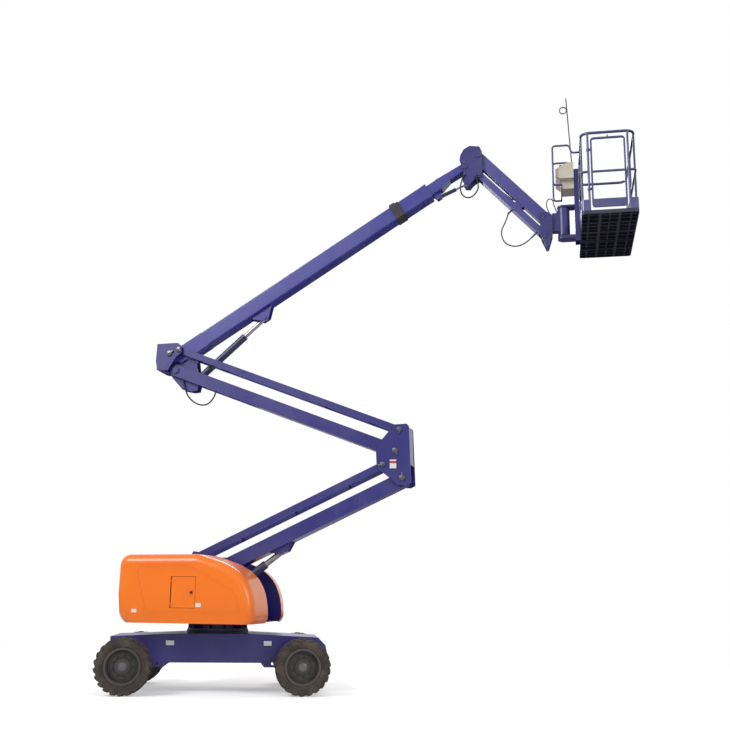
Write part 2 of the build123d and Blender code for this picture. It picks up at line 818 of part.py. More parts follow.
# Top knuckle: outer plates, a back plate, and inner cheeks for the arm and the cylinder
knuckle_outline = (
    (-275, 384), (40, 392), (98, 345), (110, 250), (20, 180),
    (-93, -12), (-251, -7), (-285, 120),
)
cheek_outline = (
    (-262, 10), (-262, 120), (-140, 110), (100, 157), (290, 157), (345, -190),
    (320, -300), (240, -310), (100, -283), (-60, -110), (-120, -20),
)
knuckle_cheek = 65
knuckle_cheek_plate = 20
with BuildPart() as top_knuckle:
    side_plates(placed(knuckle_outline, knuckle_pin), tower_inner, plate)
    side_plates(placed(cheek_outline, knuckle_pin), knuckle_cheek, knuckle_cheek_plate)
    with BuildSketch(side()):
        Polygon(*placed(((-270, 0), (-250, 0), (-262, 375), (-282, 375)), knuckle_pin), align=None)
        Polygon(*placed(((-270, 0), (-180, 0), (-180, 14), (-270, 14)), knuckle_pin), align=None)
    extrude(amount=tower_inner, both=True)
    cross_bar(knuckle_pin, pin_radius, link_inner + 6)
    side_bosses(knuckle_pin, 1.5 * pin_radius, link_inner - 2 + side_clear, link_inner + 6)
    side_bosses(knuckle_pin, 1.5 * pin_radius, knuckle_cheek, upper_half - fork_wall - side_clear)
    cross_bar(main_base, pin_radius, knuckle_cheek + knuckle_cheek_plate + 2)
    for across in (1, -1):
        for pin, inner in ((boom_pin, 92), (knuckle_link_pin, 150)):
            with BuildSketch(side(across * inner)):
                with Locations(pin):
                    Circle(pin_radius)
            extrude(amount=across * (tower_outer + plate - inner))
        with BuildSketch(side(across * tower_outer)):
            with Locations(boom_pin, knuckle_link_pin):
                Circle(1.5 * pin_radius)
        extrude(amount=across * plate)
top_knuckle.part.label = "top_knuckle"

# Main boom: first section with its root lugs, mouth pads and cylinder lugs
root_outline = (
    (-45, boom_depth / 2 - boom_drop),
    (boom_root + 40, boom_depth / 2 - boom_drop),
    (boom_root + 40, -boom_depth / 2 - boom_drop),
    (60, -boom_depth / 2 - boom_drop),
    (-50, -40),
)
with BuildPart() as boom_section:
    box_beam(boom_pin, boom_angle, boom_root, boom_end, -boom_drop, boom_half, boom_depth, arm_wall)
    for across, amount in ((boom_half - 20, 20), (20 - boom_half, -20)):
        with BuildSketch(arm_side(boom_pin, boom_angle, across)):
            Polygon(*root_outline, align=None)
            Circle(boss_radius)
        extrude(amount=amount)
    with BuildSketch(arm_section(boom_pin, boom_angle, boom_end - 60, -boom_drop)):
        Rectangle(2 * boom_half - 4, boom_depth - 4)
        RectangleRounded(
            2 * (stage_half + bearing_clear), stage_depth + 2 * bearing_clear, 14, mode=Mode.SUBTRACT
        )
    extrude(amount=60)
    main_lug = (
        (1445 - 200, -boom_depth / 2 - boom_drop + 4),
        (1445 + 200, -boom_depth / 2 - boom_drop + 4),
        (1445 + 50, -326),
        (1445 - 50, -326),
    )
    main_underside = -boom_depth / 2 - boom_drop
    eye_slot(boom_pin, boom_angle, 1445 - 190, 1445 + 65, main_underside, lug_gap - 2)
    cylinder_lugs(boom_pin, boom_angle, main_lug, main_tip, lug_gap, 1.5 * main_eye_pin)
    cross_bar(boom_pin, pin_radius + fit_clear, boom_half + 1, mode=Mode.SUBTRACT)
boom_section.part.label = "boom_section"

# Clamp band near the boom's mouth
with BuildPart() as boom_collar:
    with BuildSketch(arm_section(boom_pin, boom_angle, collar_start, -boom_drop)):
        RectangleRounded(2 * boom_half + 2 * collar_proud, boom_depth + 2 * collar_proud, 20)
        RectangleRounded(2 * boom_half, boom_depth, 2 * arm_wall, mode=Mode.SUBTRACT)
    extrude(amount=collar_end - collar_start)
    with BuildSketch(arm_side(boom_pin, boom_angle)):
        with Locations((collar_start + 60, boom_depth / 2 - boom_drop + 30)):
            Rectangle(90, 50)
    extrude(amount=60, both=True)
boom_collar.part.label = "boom_collar"

# Sliding stage, with its tapered tip and the level cylinder's lugs
tip_outline = (
    (stage_taper - 10, stage_depth / 2 - boom_drop),
    (stage_tip - 30, 60 - boom_drop),
    (stage_tip + 38, 35 - boom_drop),
    (stage_tip + 38, -30 - boom_drop),
    (stage_tip - 20, -45 - boom_drop),
    (stage_tip - 280, -35 - boom_drop),
    (stage_taper, -stage_depth / 2 - boom_drop),
    (stage_taper - 10, -stage_depth / 2 - boom_drop),
)
with BuildPart() as boom_stage:
    box_beam(boom_pin, boom_angle, stage_start, stage_taper, -boom_drop, stage_half, stage_depth, stage_wall)
    with BuildSketch(arm_side(boom_pin, boom_angle)):
        Polygon(*tip_outline, align=None)
    extrude(amount=stage_half, both=True)
    with BuildSketch(arm_side(boom_pin, boom_angle)):
        Polygon(*tip_outline, align=None)
        offset(amount=-stage_wall, kind=Kind.INTERSECTION, mode=Mode.REPLACE)
        with Locations((stage_taper, -boom_drop)):
            Rectangle(60, stage_depth - 2 * stage_wall - 8)
    extrude(amount=stage_half - stage_wall, both=True, mode=Mode.SUBTRACT)
    cross_bar(goose_pin, 38, stage_half)
    with BuildSketch(arm_section(boom_pin, boom_angle, stage_start, -boom_drop)):
        RectangleRounded(
            2 * (boom_half - arm_wall - bearing_clear), boom_depth - 2 * arm_wall - 2 * bearing_clear, 12
        )
        Rectangle(2 * stage_half - 4, stage_depth - 4, mode=Mode.SUBTRACT)
        # The pads leave the middle of the underside free, where the lift rod's eye may pass
        with Locations((0, -boom_depth / 2)):
            Rectangle(2 * lug_gap + 4, 50, mode=Mode.SUBTRACT)
    extrude(amount=60)
    level_lug = (
        (level_base_along - 60, -stage_depth / 2 - boom_drop + 4),
        (level_base_along + 60, -stage_depth / 2 - boom_drop + 4),
        (level_base_along + 34, -250),
        (level_base_along - 34, -250),
    )
    for across, amount in ((30, plate), (-30, -plate)):
        with BuildSketch(arm_side(boom_pin, boom_angle, across)):
            Polygon(*level_lug, align=None)
        extrude(amount=amount)
    cross_bar(level_base, small_pin, 30 + plate)
    cross_bar(goose_pin, pin_radius + fit_clear, stage_half + 1, mode=Mode.SUBTRACT)
boom_stage.part.label = "boom_stage"

with BuildPart() as main_barrel:
    barrel(main_base, main_tip, main_cylinder, pin_radius)
main_barrel.part.label = "main_barrel"

with BuildPart() as main_rod:
    piston_rod(main_base, main_tip, main_cylinder, main_eye_pin, lug_gap - 6)
main_rod.part.label = "main_rod"

with BuildPart() as level_barrel:
    barrel(level_base, level_tip, level_cylinder, small_pin)
level_barrel.part.label = "level_barrel"

with BuildPart() as level_rod:
    piston_rod(level_base, level_tip, level_cylinder, small_pin, 26)
level_rod.part.label = "level_rod"

# Gooseneck: two plates under an arched cover, kept level by its cylinder
goose_outline = (
    (-52, 20), (-73, 90), (-63, 174), (-11, 264), (74, 312), (217, 291), (252, 211),
    (257, -149), (227, -184), (177, -179), (117, -229), (63, -289), (-3, -284), (-30, -240), (-22, -60),
)
goose_cover = (
    (-69, 122), (-63, 174), (-11, 264), (74, 312), (100, 308),
    (99, 298), (76, 302), (-4, 257), (-54, 171), (-59, 122),
)
with BuildPart() as gooseneck:
    side_plates(placed(goose_outline, goose_pin), goose_inner, plate, 8)
    side_bosses(goose_pin, 1.5 * pin_radius, goose_inner - side_clear, goose_inner + plate)
    with BuildSketch(side()):
        Polygon(*placed(goose_cover, goose_pin), align=None)
    extrude(amount=goose_inner, both=True)
    held_pin(goose_pin, pin_radius, goose_inner + plate)
    for pin in (jib_pin, jib_link_pin):
        held_pin(pin, small_pin, goose_inner + plate)
    side_bosses(level_tip, 1.5 * small_pin, goose_inner, goose_inner + plate + lug_boss)
    hose_sleeves(goose_hose, goose_hose_side, 10)
    with BuildSketch(side(goose_inner + 2)):
        with Locations(goose_hose[0], goose_hose[-1]):
            Circle(11)
    extrude(amount=goose_hose_side - goose_inner - 2)
gooseneck.part.label = "gooseneck"

# Jib: arm, link and the cylinder between them
with BuildPart() as jib_arm:
    hollow_arm(jib_pin, jib_angle, jib_length, jib_depth, jib_half, 6)
    for end in (jib_pin, jib_end_pin):
        cross_bar(end, 40, jib_link_half - 10 - side_clear)
    jib_lug = (
        (950 - 90, -jib_depth / 2 + 3),
        (950 + 90, -jib_depth / 2 + 3),
        (950 + 30, -152),
        (950 - 30, -152),
    )
    eye_slot(jib_pin, jib_angle, -jib_depth, 1005, -jib_depth / 2, jib_lug_gap - 1)
    cylinder_lugs(jib_pin, jib_angle, jib_lug, jib_cylinder_tip, jib_lug_gap, 1.5 * small_pin)
    for end in (jib_pin, jib_end_pin):
        cross_bar(end, small_pin + fit_clear, jib_link_half, mode=Mode.SUBTRACT)
jib_arm.part.label = "jib_arm"

with BuildPart() as jib_link:
    for across, amount in ((jib_link_half - 10, 10), (10 - jib_link_half, -10)):
        with BuildSketch(arm_side(jib_link_pin, jib_angle, across)):
            with Locations((jib_length / 2, 0)):
                SlotCenterToCenter(jib_length, jib_link_depth)
        extrude(amount=amount)
    with BuildSketch(arm_side(jib_link_pin, jib_angle)):
        with Locations((jib_length / 2 + 20, (jib_link_wall - jib_link_depth) / 2)):
            Rectangle(jib_length - 200, jib_link_wall)
    extrude(amount=jib_link_half - 8, both=True)
    for end in (jib_link_pin, jib_end_link_pin):
        cross_bar(end, small_pin + fit_clear, jib_link_half + 1, mode=Mode.SUBTRACT)
    hose_sleeves(jib_hose, 0, 9)
    with BuildSketch(arm_side(jib_link_pin, jib_angle)):
        with Locations((709, -79), (1205, -85)):
            Rectangle(24, 84)
    extrude(amount=8, both=True)
jib_link.part.label = "jib_link"

with BuildPart() as jib_barrel:
    barrel(jib_link_pin, jib_cylinder_tip, jib_cylinder, small_pin)
jib_barrel.part.label = "jib_barrel"

with BuildPart() as jib_rod:
    piston_rod(jib_link_pin, jib_cylinder_tip, jib_cylinder, small_pin, jib_lug_gap - 6)
jib_rod.part.label = "jib_rod"

# Jib end: plates on the two jib pins, and the flange that carries the rotator
jib_end_outline = (
    (-48, 20), (-30, 48), (60, 48), (125, 0), (125, -277), (69, -462),
    (37, -472), (-35, -310), (-45, -120),
)
with BuildPart() as jib_end:
    side_plates(placed(jib_end_outline, jib_end_pin), jib_end_inner, plate, 8)
    with BuildSketch(side()):
        Polygon(*placed(((113, -5), (125, -5), (125, -277), (113, -277)), jib_end_pin), align=None)
    extrude(amount=jib_end_inner, both=True)
    for pin in (jib_end_pin, jib_end_link_pin):
        held_pin(pin, small_pin, jib_end_inner + plate)
    # A block on the front plate holds the hose
    with BuildSketch(side()):
        Polygon(*placed(((94, -30), (123, -30), (123, 34), (94, 34)), jib_end_pin), align=None)
    extrude(amount=14, both=True)
    hose_sleeves(rotator_hose, 0, 7, ((0, 1),))
jib_end.part.label = "jib_end"

# Rotator: an upright housing bracketed to the jib end
rotator_middle = (rotator_low + rotator_high) / 2
flange_x = jib_end_pin[0] + 125
with BuildPart() as rotator:
    with BuildSketch(Plane.XY.offset(rotator_low)):
        with Locations((rotator_x, 0)):
            Circle(rotator_radius)
    extrude(amount=rotator_high - rotator_low)
    with BuildSketch(Plane.XY.offset(rotator_low + 60)):
        with Locations(((flange_x + rotator_x) / 2, 0)):
            Rectangle(rotator_x - flange_x, 2 * 60)
    extrude(amount=rotator_high - rotator_low - 130)
    with BuildSketch(Plane.XY.offset(rotator_low - 60)):
        with Locations((rotator_x, 0)):
            Circle(30)
    extrude(amount=rotator_high - rotator_low + 110)
    hose_sleeves(rotator_hose, 0, 7, ((-1, -2),))
rotator.part.label = "rotator"

# Platform mount: turns on the rotator's shaft and carries the platform
post_x = platform_start - 35
mount_low = rotator_low - 30
mount_high = rotator_high + 20
with BuildPart() as platform_mount:
    for low, high in ((mount_low - 30, mount_low + 20), (mount_high - 10, mount_high + 15)):
        with BuildSketch(Plane.XY.offset(low)):
            with Locations(((rotator_x + platform_start) / 2 - 20, 0)):
                Rectangle(platform_start - rotator_x + 40, 180)
            with Locations((rotator_x - 10, 0)):
                Circle(80)
            with Locations((rotator_x, 0)):
                Circle(30 + fit_clear, mode=Mode.SUBTRACT)
        extrude(amount=high - low)
    with BuildSketch(Plane.XY.offset(floor_level - floor_depth - 70)):
        with Locations((post_x, 0)):
            Rectangle(70, 200)
            Rectangle(58, 188, mode=Mode.SUBTRACT)
    extrude(amount=1050)
platform_mount.part.label = "platform_mount"

# Platform floor: a grated deck on a frame
platform_end = platform_start + platform_width
platform_x = platform_start + platform_width / 2
with BuildPart() as platform_floor:
    with BuildSketch(Plane.XY.offset(floor_level - floor_depth)):
        with Locations((platform_x, 0)):
            RectangleRounded(platform_width, 2 * platform_half, 40)
    extrude(amount=frame_level - floor_level + floor_depth)
    with BuildSketch(Plane.XY.offset(frame_level)):
        with Locations((platform_x, 0)):
            Rectangle(platform_width - 2 * grating_inset, 2 * platform_half - 2 * grating_inset)
    extrude(amount=floor_level - frame_level)
    with BuildSketch(Plane.XY.offset(floor_level - floor_depth)):
        with Locations((platform_x, 0)):
            with GridLocations(platform_width / 3, 2 * platform_half / 5, 3, 5):
                Rectangle(platform_width / 3 - 30, 2 * platform_half / 5 - 30)
    extrude(amount=floor_depth - 11, mode=Mode.SUBTRACT)
platform_floor.part.label = "platform_floor"

# Guard rail: a closed top rail, and a middle rail that is open at the gate
rail_inset = rail_radius + 4
rail_left, rail_right = platform_start + rail_inset, platform_end - rail_inset
rail_y = platform_half - rail_inset
gate_left, gate_right = platform_start + 110, platform_end - 110
with BuildPart() as guard_rail:
    z = floor_level + rail_height
    with BuildLine() as run:
        FilletPolyline(
            (rail_left, -rail_y, z), (rail_left, rail_y, z), (rail_right, rail_y, z), (rail_right, -rail_y, z),
            radius=rail_corner,
            close=True,
        )
    with BuildSketch(Plane(origin=run.line @ 0, z_dir=run.line % 0)):
        Circle(rail_radius)
    sweep(path=run.line)
    z = floor_level + mid_rail_height
    with BuildLine() as run:
        FilletPolyline(
            (gate_left, -rail_y, z), (rail_left, -rail_y, z), (rail_left, rail_y, z),
            (rail_right, rail_y, z), (rail_right, -rail_y, z), (gate_right, -rail_y, z),
            radius=40,
        )
    with BuildSketch(Plane(origin=run.line @ 0, z_dir=run.line % 0)):
        Circle(rail_radius - 2)
    sweep(path=run.line)
    # Posts beside the gate, then along the sides
    for x, y in (
        (gate_left, -rail_y), (gate_right, -rail_y), (rail_left, -rail_y + 120), (rail_right, -rail_y + 120),
        (rail_left, rail_y - 120), (rail_right, rail_y - 120), (rail_left, 120), (rail_right, 0),
    ):
        with Locations((x, y, frame_level)):
            Cylinder(rail_radius - 4, rail_height + 5, align=(Align.CENTER, Align.CENTER, Align.MIN))
guard_rail.part.label = "guard_rail"

# Toe boards round the floor, open at the gate
with BuildPart() as toe_board:
    with BuildSketch(Plane.XY.offset(frame_level)):
        with Locations((platform_x, 0)):
            RectangleRounded(platform_width, 2 * platform_half, 40)
            RectangleRounded(platform_width - 6, 2 * platform_half - 6, 37, mode=Mode.SUBTRACT)
        with Locations((platform_x, -platform_half)):
            Rectangle(gate_right - gate_left, 20, mode=Mode.SUBTRACT)
    extrude(amount=toe_height)
toe_board.part.label = "toe_board"

# Gate: a frame that hangs under the top rail on the post nearer the boom, and opens inward
gate_hinge = gate_left + 2 * rail_radius + panel_clear
gate_latch = gate_right - 2 * rail_radius - panel_clear
gate_middle = (gate_hinge + gate_latch) / 2
gate_top = floor_level + rail_height - gate_drop
gate_foot = floor_level + 40
with BuildPart() as platform_gate:
    with BuildSketch(side(rail_y - 12)):
        with Locations((gate_middle, (gate_top + gate_foot) / 2)):
            RectangleRounded(gate_latch - gate_hinge + 24, gate_top - gate_foot, 50)
            RectangleRounded(gate_latch - gate_hinge - 24, gate_top - gate_foot - 48, 28, mode=Mode.SUBTRACT)
        with Locations((gate_middle, floor_level + mid_rail_height)):
            Rectangle(gate_latch - gate_hinge, 24)
        with Locations((gate_middle, floor_level + 100)):
            Rectangle(gate_latch - gate_hinge, toe_height - 40)
        with Locations((gate_middle, gate_top + 6)):
            Rectangle(20, gate_drop - rail_radius - 18)
    extrude(amount=24)
    for z in (floor_level + 300, floor_level + 860):
        with Locations(((gate_left + gate_hinge) / 2, -rail_y, z)):
            Box(gate_hinge - gate_left, 16, 30)
        with Locations((gate_left, -rail_y, z)):
            Cylinder(rail_radius + 5, 30)
            Cylinder(rail_radius - 4 + fit_clear, 32, mode=Mode.SUBTRACT)
platform_gate.part.label = "platform_gate"

# Control console on the mount's post
console_right = post_x - 35
with BuildPart() as control_console:
    with BuildSketch(side()):
        Polygon(
            (console_right, 7010), (console_right, 7250), (4930, 7245), (4770, 7150), (4770, 7060), (4830, 7010),
            align=None,
        )
    extrude(amount=250, both=True)
    with BuildSketch(side()):
        with Locations(((4860 + console_right) / 2, 6950)):
            Rectangle(console_right - 4860, 120)
    extrude(amount=150, both=True)
    fillet(faces().sort_by(Axis.Z)[-1].edges(), 8)
control_console.part.label = "control_console"

# Hoop of tube round the console, from the top rail
with BuildPart() as console_guard:
    for across in (1, -1):
        y = across * 300
        with BuildLine() as run:
            FilletPolyline(
                (rail_left - rail_radius, y, floor_level + rail_height), (5000, y, floor_level + rail_height),
                (4960, y, 7477), (4735, y, 7477), (4735, y, 6890), (4860, y, 6890),
                radius=40,
            )
        with BuildSketch(Plane(origin=run.line @ 0, z_dir=run.line % 0)):
            Circle(14)
        sweep(path=run.line)
    for z in (7300, 6890):
        with Locations((4735 if z > 7000 else 4849, 0, z)):
            Cylinder(11, 600, rotation=(90, 0, 0))
console_guard.part.label = "console_guard"

# Slim mast with a ring at its top
with BuildPart() as wind_mast:
    with BuildLine() as run:
        Line((5000, -180, 7249.2), (4950, -180, 8250))
    with BuildSketch(Plane(origin=run.line @ 0, z_dir=run.line % 0)):
        Circle(8)
    sweep(path=run.line)
    with BuildSketch(side(180)):
        with Locations((4903, 8070)):
            Circle(55)
            Circle(43, mode=Mode.SUBTRACT)
    extrude(amount=6, both=True)
wind_mast.part.label = "wind_mast"



# Hoses that hang free: each in a plane across Y, with its ends in clips on what carries it
def hose(route, across, radius):
    bends = []
    for before, corner, after in zip(route, route[1:], route[2:]):
        run_in, angle_in = span(before, corner)
        run_out, angle_out = span(corner, after)
        turn = abs((angle_out - angle_in + 180) % 360 - 180)
        bends.append(0.45 * min(run_in, run_out) / tan(radians(turn / 2)))
    with BuildPart() as tube:
        with BuildLine() as run:
            FilletPolyline(*[(x, -across, z) for x, z in route], radius=bends)
        with BuildSketch(Plane(origin=run.line @ 0, z_dir=run.line % 0)):
            Circle(radius)
        sweep(path=run.line)
    length = sum(edge.length for edge in run.edges())
    print("hose bends", [round(bend) for bend in bends], "length", round(length))
    return tube


hoses = {}
for name, route, across, radius in (
    ("hose_knuckle", knuckle_hose, knuckle_hose_side, 11),
    ("hose_gooseneck", goose_hose, goose_hose_side, 10),
    ("hose_jib", jib_hose, 0, 9),
    ("hose_rotator", rotator_hose, 0, 7),
):
    hoses[name] = hose(route, across, radius)
    hoses[name].part.label = name

os.makedirs("parts", exist_ok=True)
pieces = [chassis_frame, slew_ring, drive_axle, steer_axle, *knuckles.values(), tie_rod, *wheels.values()]
pieces += [turret_frame, counterweight, engine_block, *hoods.values(), access_door, beacon]
pieces += [lift_barrel, lift_rod, lower_arm, lower_link, mid_upright, upper_arm, upper_link, top_knuckle]
pieces += [boom_section, boom_collar, boom_stage, main_barrel, main_rod, level_barrel, level_rod, gooseneck]
pieces += [jib_arm, jib_link, jib_barrel, jib_rod, jib_end, rotator, platform_mount, platform_floor]
pieces += [guard_rail, toe_board, platform_gate, control_console, console_guard, wind_mast, *hoses.values()]
for piece in pieces:
    export_step(piece.part, f"parts/{piece.part.label}.step")
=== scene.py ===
# %% [markdown]
# A self-propelled boom lift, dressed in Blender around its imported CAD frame.
# The CAD model gives the machine's sizes, joints and places. This script adds finishes, tyres,
# hoses, hood shells, plates and small parts, placed in metres in the CAD model's own frame, and
# a camera that stands where the photographer stood.

# %% Load the frame
import math

import bmesh
import bpy
from mathutils import Matrix, Vector


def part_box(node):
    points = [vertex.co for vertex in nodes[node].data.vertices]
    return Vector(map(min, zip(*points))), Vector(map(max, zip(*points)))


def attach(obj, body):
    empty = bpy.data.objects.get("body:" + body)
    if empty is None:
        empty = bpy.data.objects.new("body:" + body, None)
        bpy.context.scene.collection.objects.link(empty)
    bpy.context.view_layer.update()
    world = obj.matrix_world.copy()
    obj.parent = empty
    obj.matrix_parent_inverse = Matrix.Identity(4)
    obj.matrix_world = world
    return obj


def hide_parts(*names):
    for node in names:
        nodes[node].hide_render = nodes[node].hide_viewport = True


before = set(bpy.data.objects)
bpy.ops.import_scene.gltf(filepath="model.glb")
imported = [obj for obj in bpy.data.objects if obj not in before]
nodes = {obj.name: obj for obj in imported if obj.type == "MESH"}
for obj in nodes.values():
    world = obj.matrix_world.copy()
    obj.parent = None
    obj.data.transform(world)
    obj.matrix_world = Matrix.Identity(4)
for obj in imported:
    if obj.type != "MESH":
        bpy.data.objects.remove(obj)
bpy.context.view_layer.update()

# %% [markdown]
# The camera. Its place, direction and lens were fitted to the photograph from the wheels,
# hoods, booms and platform. A camera looks along its own -Z, so its three axes are worked out
# as right, up and minus forward, then written as the columns of its matrix.

# %% Camera
camera_place = Vector((4.679, -13.781, 1.311))
look = Vector((-0.189, 0.982, 0)).normalized()
pitch = math.radians(12.67)
roll = math.radians(0.66)

forward = look * math.cos(pitch) + Vector((0, 0, math.sin(pitch)))
level_right = forward.cross(Vector((0, 0, 1))).normalized()
level_up = level_right.cross(forward)
right = level_right * math.cos(roll) + level_up * math.sin(roll)
up = level_up * math.cos(roll) - level_right * math.sin(roll)

camera_data = bpy.data.cameras.new("photo_camera")
camera_data.lens = 49.84
camera_data.sensor_width = 36
camera_data.clip_end = 300
camera = bpy.data.objects.new("photo_camera", camera_data)
turn = Matrix((right, up, -forward)).transposed().to_4x4()
camera.matrix_world = Matrix.Translation(camera_place) @ turn
bpy.context.scene.collection.objects.link(camera)
bpy.context.scene.camera = camera
print("camera at", camera_place)

# %% [markdown]
# Four hydraulic hoses hang free: below the knuckle, at the gooseneck, under the jib and over
# the jib's end. Each is a NURBS spline through its route, so it bends smoothly as rubber does,
# and it takes the place of the plain tube in the CAD model.

# %% Hoses
def hanging_hose(name, node, body, route, across, radius, length):
    curve = bpy.data.curves.new(name, "CURVE")
    curve.dimensions = "3D"
    curve.bevel_depth = radius
    curve.bevel_resolution = 3
    curve.resolution_u = 10
    curve.use_fill_caps = True
    spline = curve.splines.new("NURBS")
    spline.points.add(len(route) - 1)
    for point, (x, z) in zip(spline.points, route):
        point.co = (x, -across, z, 1)
    spline.order_u = 3
    spline.use_endpoint_u = True
    hose = bpy.data.objects.new(name, curve)
    bpy.context.scene.collection.objects.link(hose)
    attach(hose, body)
    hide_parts(node)
    print(name, "length", length, "m")
    return hose


hoses = [
    hanging_hose("knuckle_hose_line", "hose_knuckle", "upper_arm", (
        (-0.6547, 4.3352), (-0.6247, 4.2002), (-0.5597, 4.0402), (-0.4197, 3.9302),
        (-0.2697, 3.9152), (-0.1747, 4.0102), (-0.1347, 4.1302), (-0.1197, 4.1902),
    ), 0.108, 0.011, 0.92),
    hanging_hose("gooseneck_hose_line", "hose_gooseneck", "gooseneck", (
        (3.6404, 7.19), (3.6954, 7.03), (3.6404, 6.9), (3.5404, 6.84),
        (3.4404, 6.89), (3.4154, 7.01), (3.4404, 7.13), (3.4784, 7.215),
    ), 0.128, 0.010, 0.82),
    hanging_hose("jib_hose_line", "hose_jib", "jib_link", (
        (4.0933, 6.6258), (4.0481, 6.4928), (3.9987, 6.4052), (3.9839, 6.3158),
        (4.0284, 6.1793), (4.1672, 6.1162), (4.3212, 6.1538), (4.4219, 6.254),
    ), 0, 0.009, 0.89),
    hanging_hose("rotator_hose_line", "hose_rotator", "jib_end", (
        (4.6828, 6.5725), (4.6468, 6.6425), (4.6288, 6.7205), (4.6428, 6.7925),
        (4.6888, 6.8165), (4.7268, 6.7805), (4.7328, 6.7105), (4.7788, 6.5965),
    ), 0, 0.007, 0.50),
]

# %% [markdown]
# Soft studio light. Large disk lamps give broad, soft reflections in paint, and a pale world
# fills the shadows. The floor and the world show white to the camera through Light Path, so
# the backdrop stays white without more light on the machine.

# %% Lamps
def area_lamp(name, place, target, size, power):
    data = bpy.data.lights.new(name, "AREA")
    data.shape = "DISK"
    data.size = size
    data.energy = power
    lamp = bpy.data.objects.new(name, data)
    aim = (Vector(target) - Vector(place)).to_track_quat("-Z", "Y")
    lamp.matrix_world = Matrix.Translation(place) @ aim.to_matrix().to_4x4()
    bpy.context.scene.collection.objects.link(lamp)


area_lamp("key", (-7, -12, 13), (1, 0, 3.5), 7, 1500)
area_lamp("fill", (13, -11, 7), (2, 0, 3.5), 6, 520)
area_lamp("rim", (0, 12, 12), (1, 0, 4), 7, 700)
bpy.context.scene.view_settings.view_transform = "Standard"

# %% [markdown]
# Shader maths reads like arithmetic with one small class: it wraps a socket, and each operator
# adds the Math node that does the sum. Any other node comes from Finish.node.

# %% Socket maths
class Value:
    def __init__(self, tree, socket):
        self.tree = tree
        self.socket = socket

    def sum_with(self, operation, other, swapped=False):
        node = self.tree.nodes.new("ShaderNodeMath")
        node.operation = operation
        sides = (other, self) if swapped else (self, other)
        for slot_number, side in enumerate(sides):
            if isinstance(side, Value):
                self.tree.links.new(side.socket, node.inputs[slot_number])
            else:
                node.inputs[slot_number].default_value = side
        return Value(self.tree, node.outputs[0])

    def __add__(self, other):
        return self.sum_with("ADD", other)

    def __mul__(self, other):
        return self.sum_with("MULTIPLY", other)

    def __rsub__(self, other):
        return self.sum_with("SUBTRACT", other, swapped=True)

    __radd__ = __add__
    __rmul__ = __mul__

    def step(self, low, high):
        node = self.tree.nodes.new("ShaderNodeMapRange")
        node.interpolation_type = "SMOOTHSTEP"
        node.inputs["From Min"].default_value = low
        node.inputs["From Max"].default_value = high
        self.tree.links.new(self.socket, node.inputs["Value"])
        return Value(self.tree, node.outputs["Result"])


class Finish:
    def __init__(self, name):
        self.material = bpy.data.materials.new(name)
        self.material.use_nodes = True
        self.tree = self.material.node_tree
        self.shader = self.tree.nodes["Principled BSDF"]

    def node(self, kind, output=0, settings=(), sockets=()):
        node = self.tree.nodes.new(kind)
        for setting, value in dict(settings).items():
            setattr(node, setting, value)
        for socket, value in dict(sockets).items():
            if isinstance(value, Value):
                self.tree.links.new(value.socket, node.inputs[socket])
            else:
                node.inputs[socket].default_value = value
        return Value(self.tree, node.outputs[output])

    def place(self):
        return self.node("ShaderNodeTexCoord", "Object")

    def noise(self, scale, detail=3, roughness=0.55, stretch=(1, 1, 1)):
        where = self.node("ShaderNodeMapping", 0, {}, {"Vector": self.place(), "Scale": stretch})
        return self.node("ShaderNodeTexNoise", 0, {}, {
            "Vector": where, "Scale": scale, "Detail": detail, "Roughness": roughness,
        })

    def upward(self):
        normal = self.node("ShaderNodeTexCoord", "Normal")
        return self.node("ShaderNodeSeparateXYZ", "Z", {}, {"Vector": normal})

    def height(self):
        return self.node("ShaderNodeSeparateXYZ", "Z", {}, {"Vector": self.place()})

    def mix(self, factor, first, second):
        # The Mix node repeats its sockets per data type, so its colour ones go by number
        factor_socket, first_colour, second_colour, colour_result = 0, 6, 7, 2
        return self.node("ShaderNodeMix", colour_result, {"data_type": "RGBA"}, {
            factor_socket: factor, first_colour: first, second_colour: second,
        })

    def feed(self, socket, value):
        if isinstance(value, Value):
            self.tree.links.new(value.socket, self.shader.inputs[socket])
        else:
            self.shader.inputs[socket].default_value = value

    def bump(self, height, strength, distance):
        normal = self.node("ShaderNodeBump", 0, {}, {
            "Height": height, "Strength": strength, "Distance": distance,
        })
        self.feed("Normal", normal)


def colour(red, green, blue):
    def linear(part):
        part = part / 255
        return part / 12.92 if part <= 0.04045 else ((part + 0.055) / 1.055) ** 2.4
    return (linear(red), linear(green), linear(blue), 1)


print("shader helpers ready")

# %% [markdown]
# Paint first. A machine like this stands outdoors, so its paint is faded in broad clouds, dusty
# on every face that looks up, speckled near the ground and a little uneven in gloss. Object
# coordinates keep all of that still when the machine moves.

# %% Paint
def paint(name, base, dust, gloss=0.38, coat=0.25, dusty=0.35, metal=0.0):
    finish = Finish(name)
    clouds = finish.noise(1.4, 4).step(0.35, 0.7)
    speckle = finish.noise(34, 5, 0.65).step(0.52, 0.72)
    streaks = finish.noise(9, 3, 0.6, (1, 1, 0.12)).step(0.55, 0.75)
    faded = finish.mix(0.35, colour(*base), colour(*dust))
    tone = finish.mix(clouds * 0.55, colour(*base), faded)
    resting = finish.upward().step(0.25, 0.95) * dusty
    grime = resting * (0.45 + 0.55 * speckle) + streaks * 0.10 + speckle * 0.05
    finish.feed("Base Color", finish.mix(grime, tone, colour(*dust)))
    finish.feed("Roughness", gloss + 0.35 * grime + 0.08 * clouds)
    finish.feed("Metallic", metal)
    finish.feed("Coat Weight", coat)
    finish.shader.inputs["Coat Roughness"].default_value = 0.18
    finish.bump(finish.noise(55, 3) + 0.6 * speckle, 0.12, 0.002)
    return finish.material


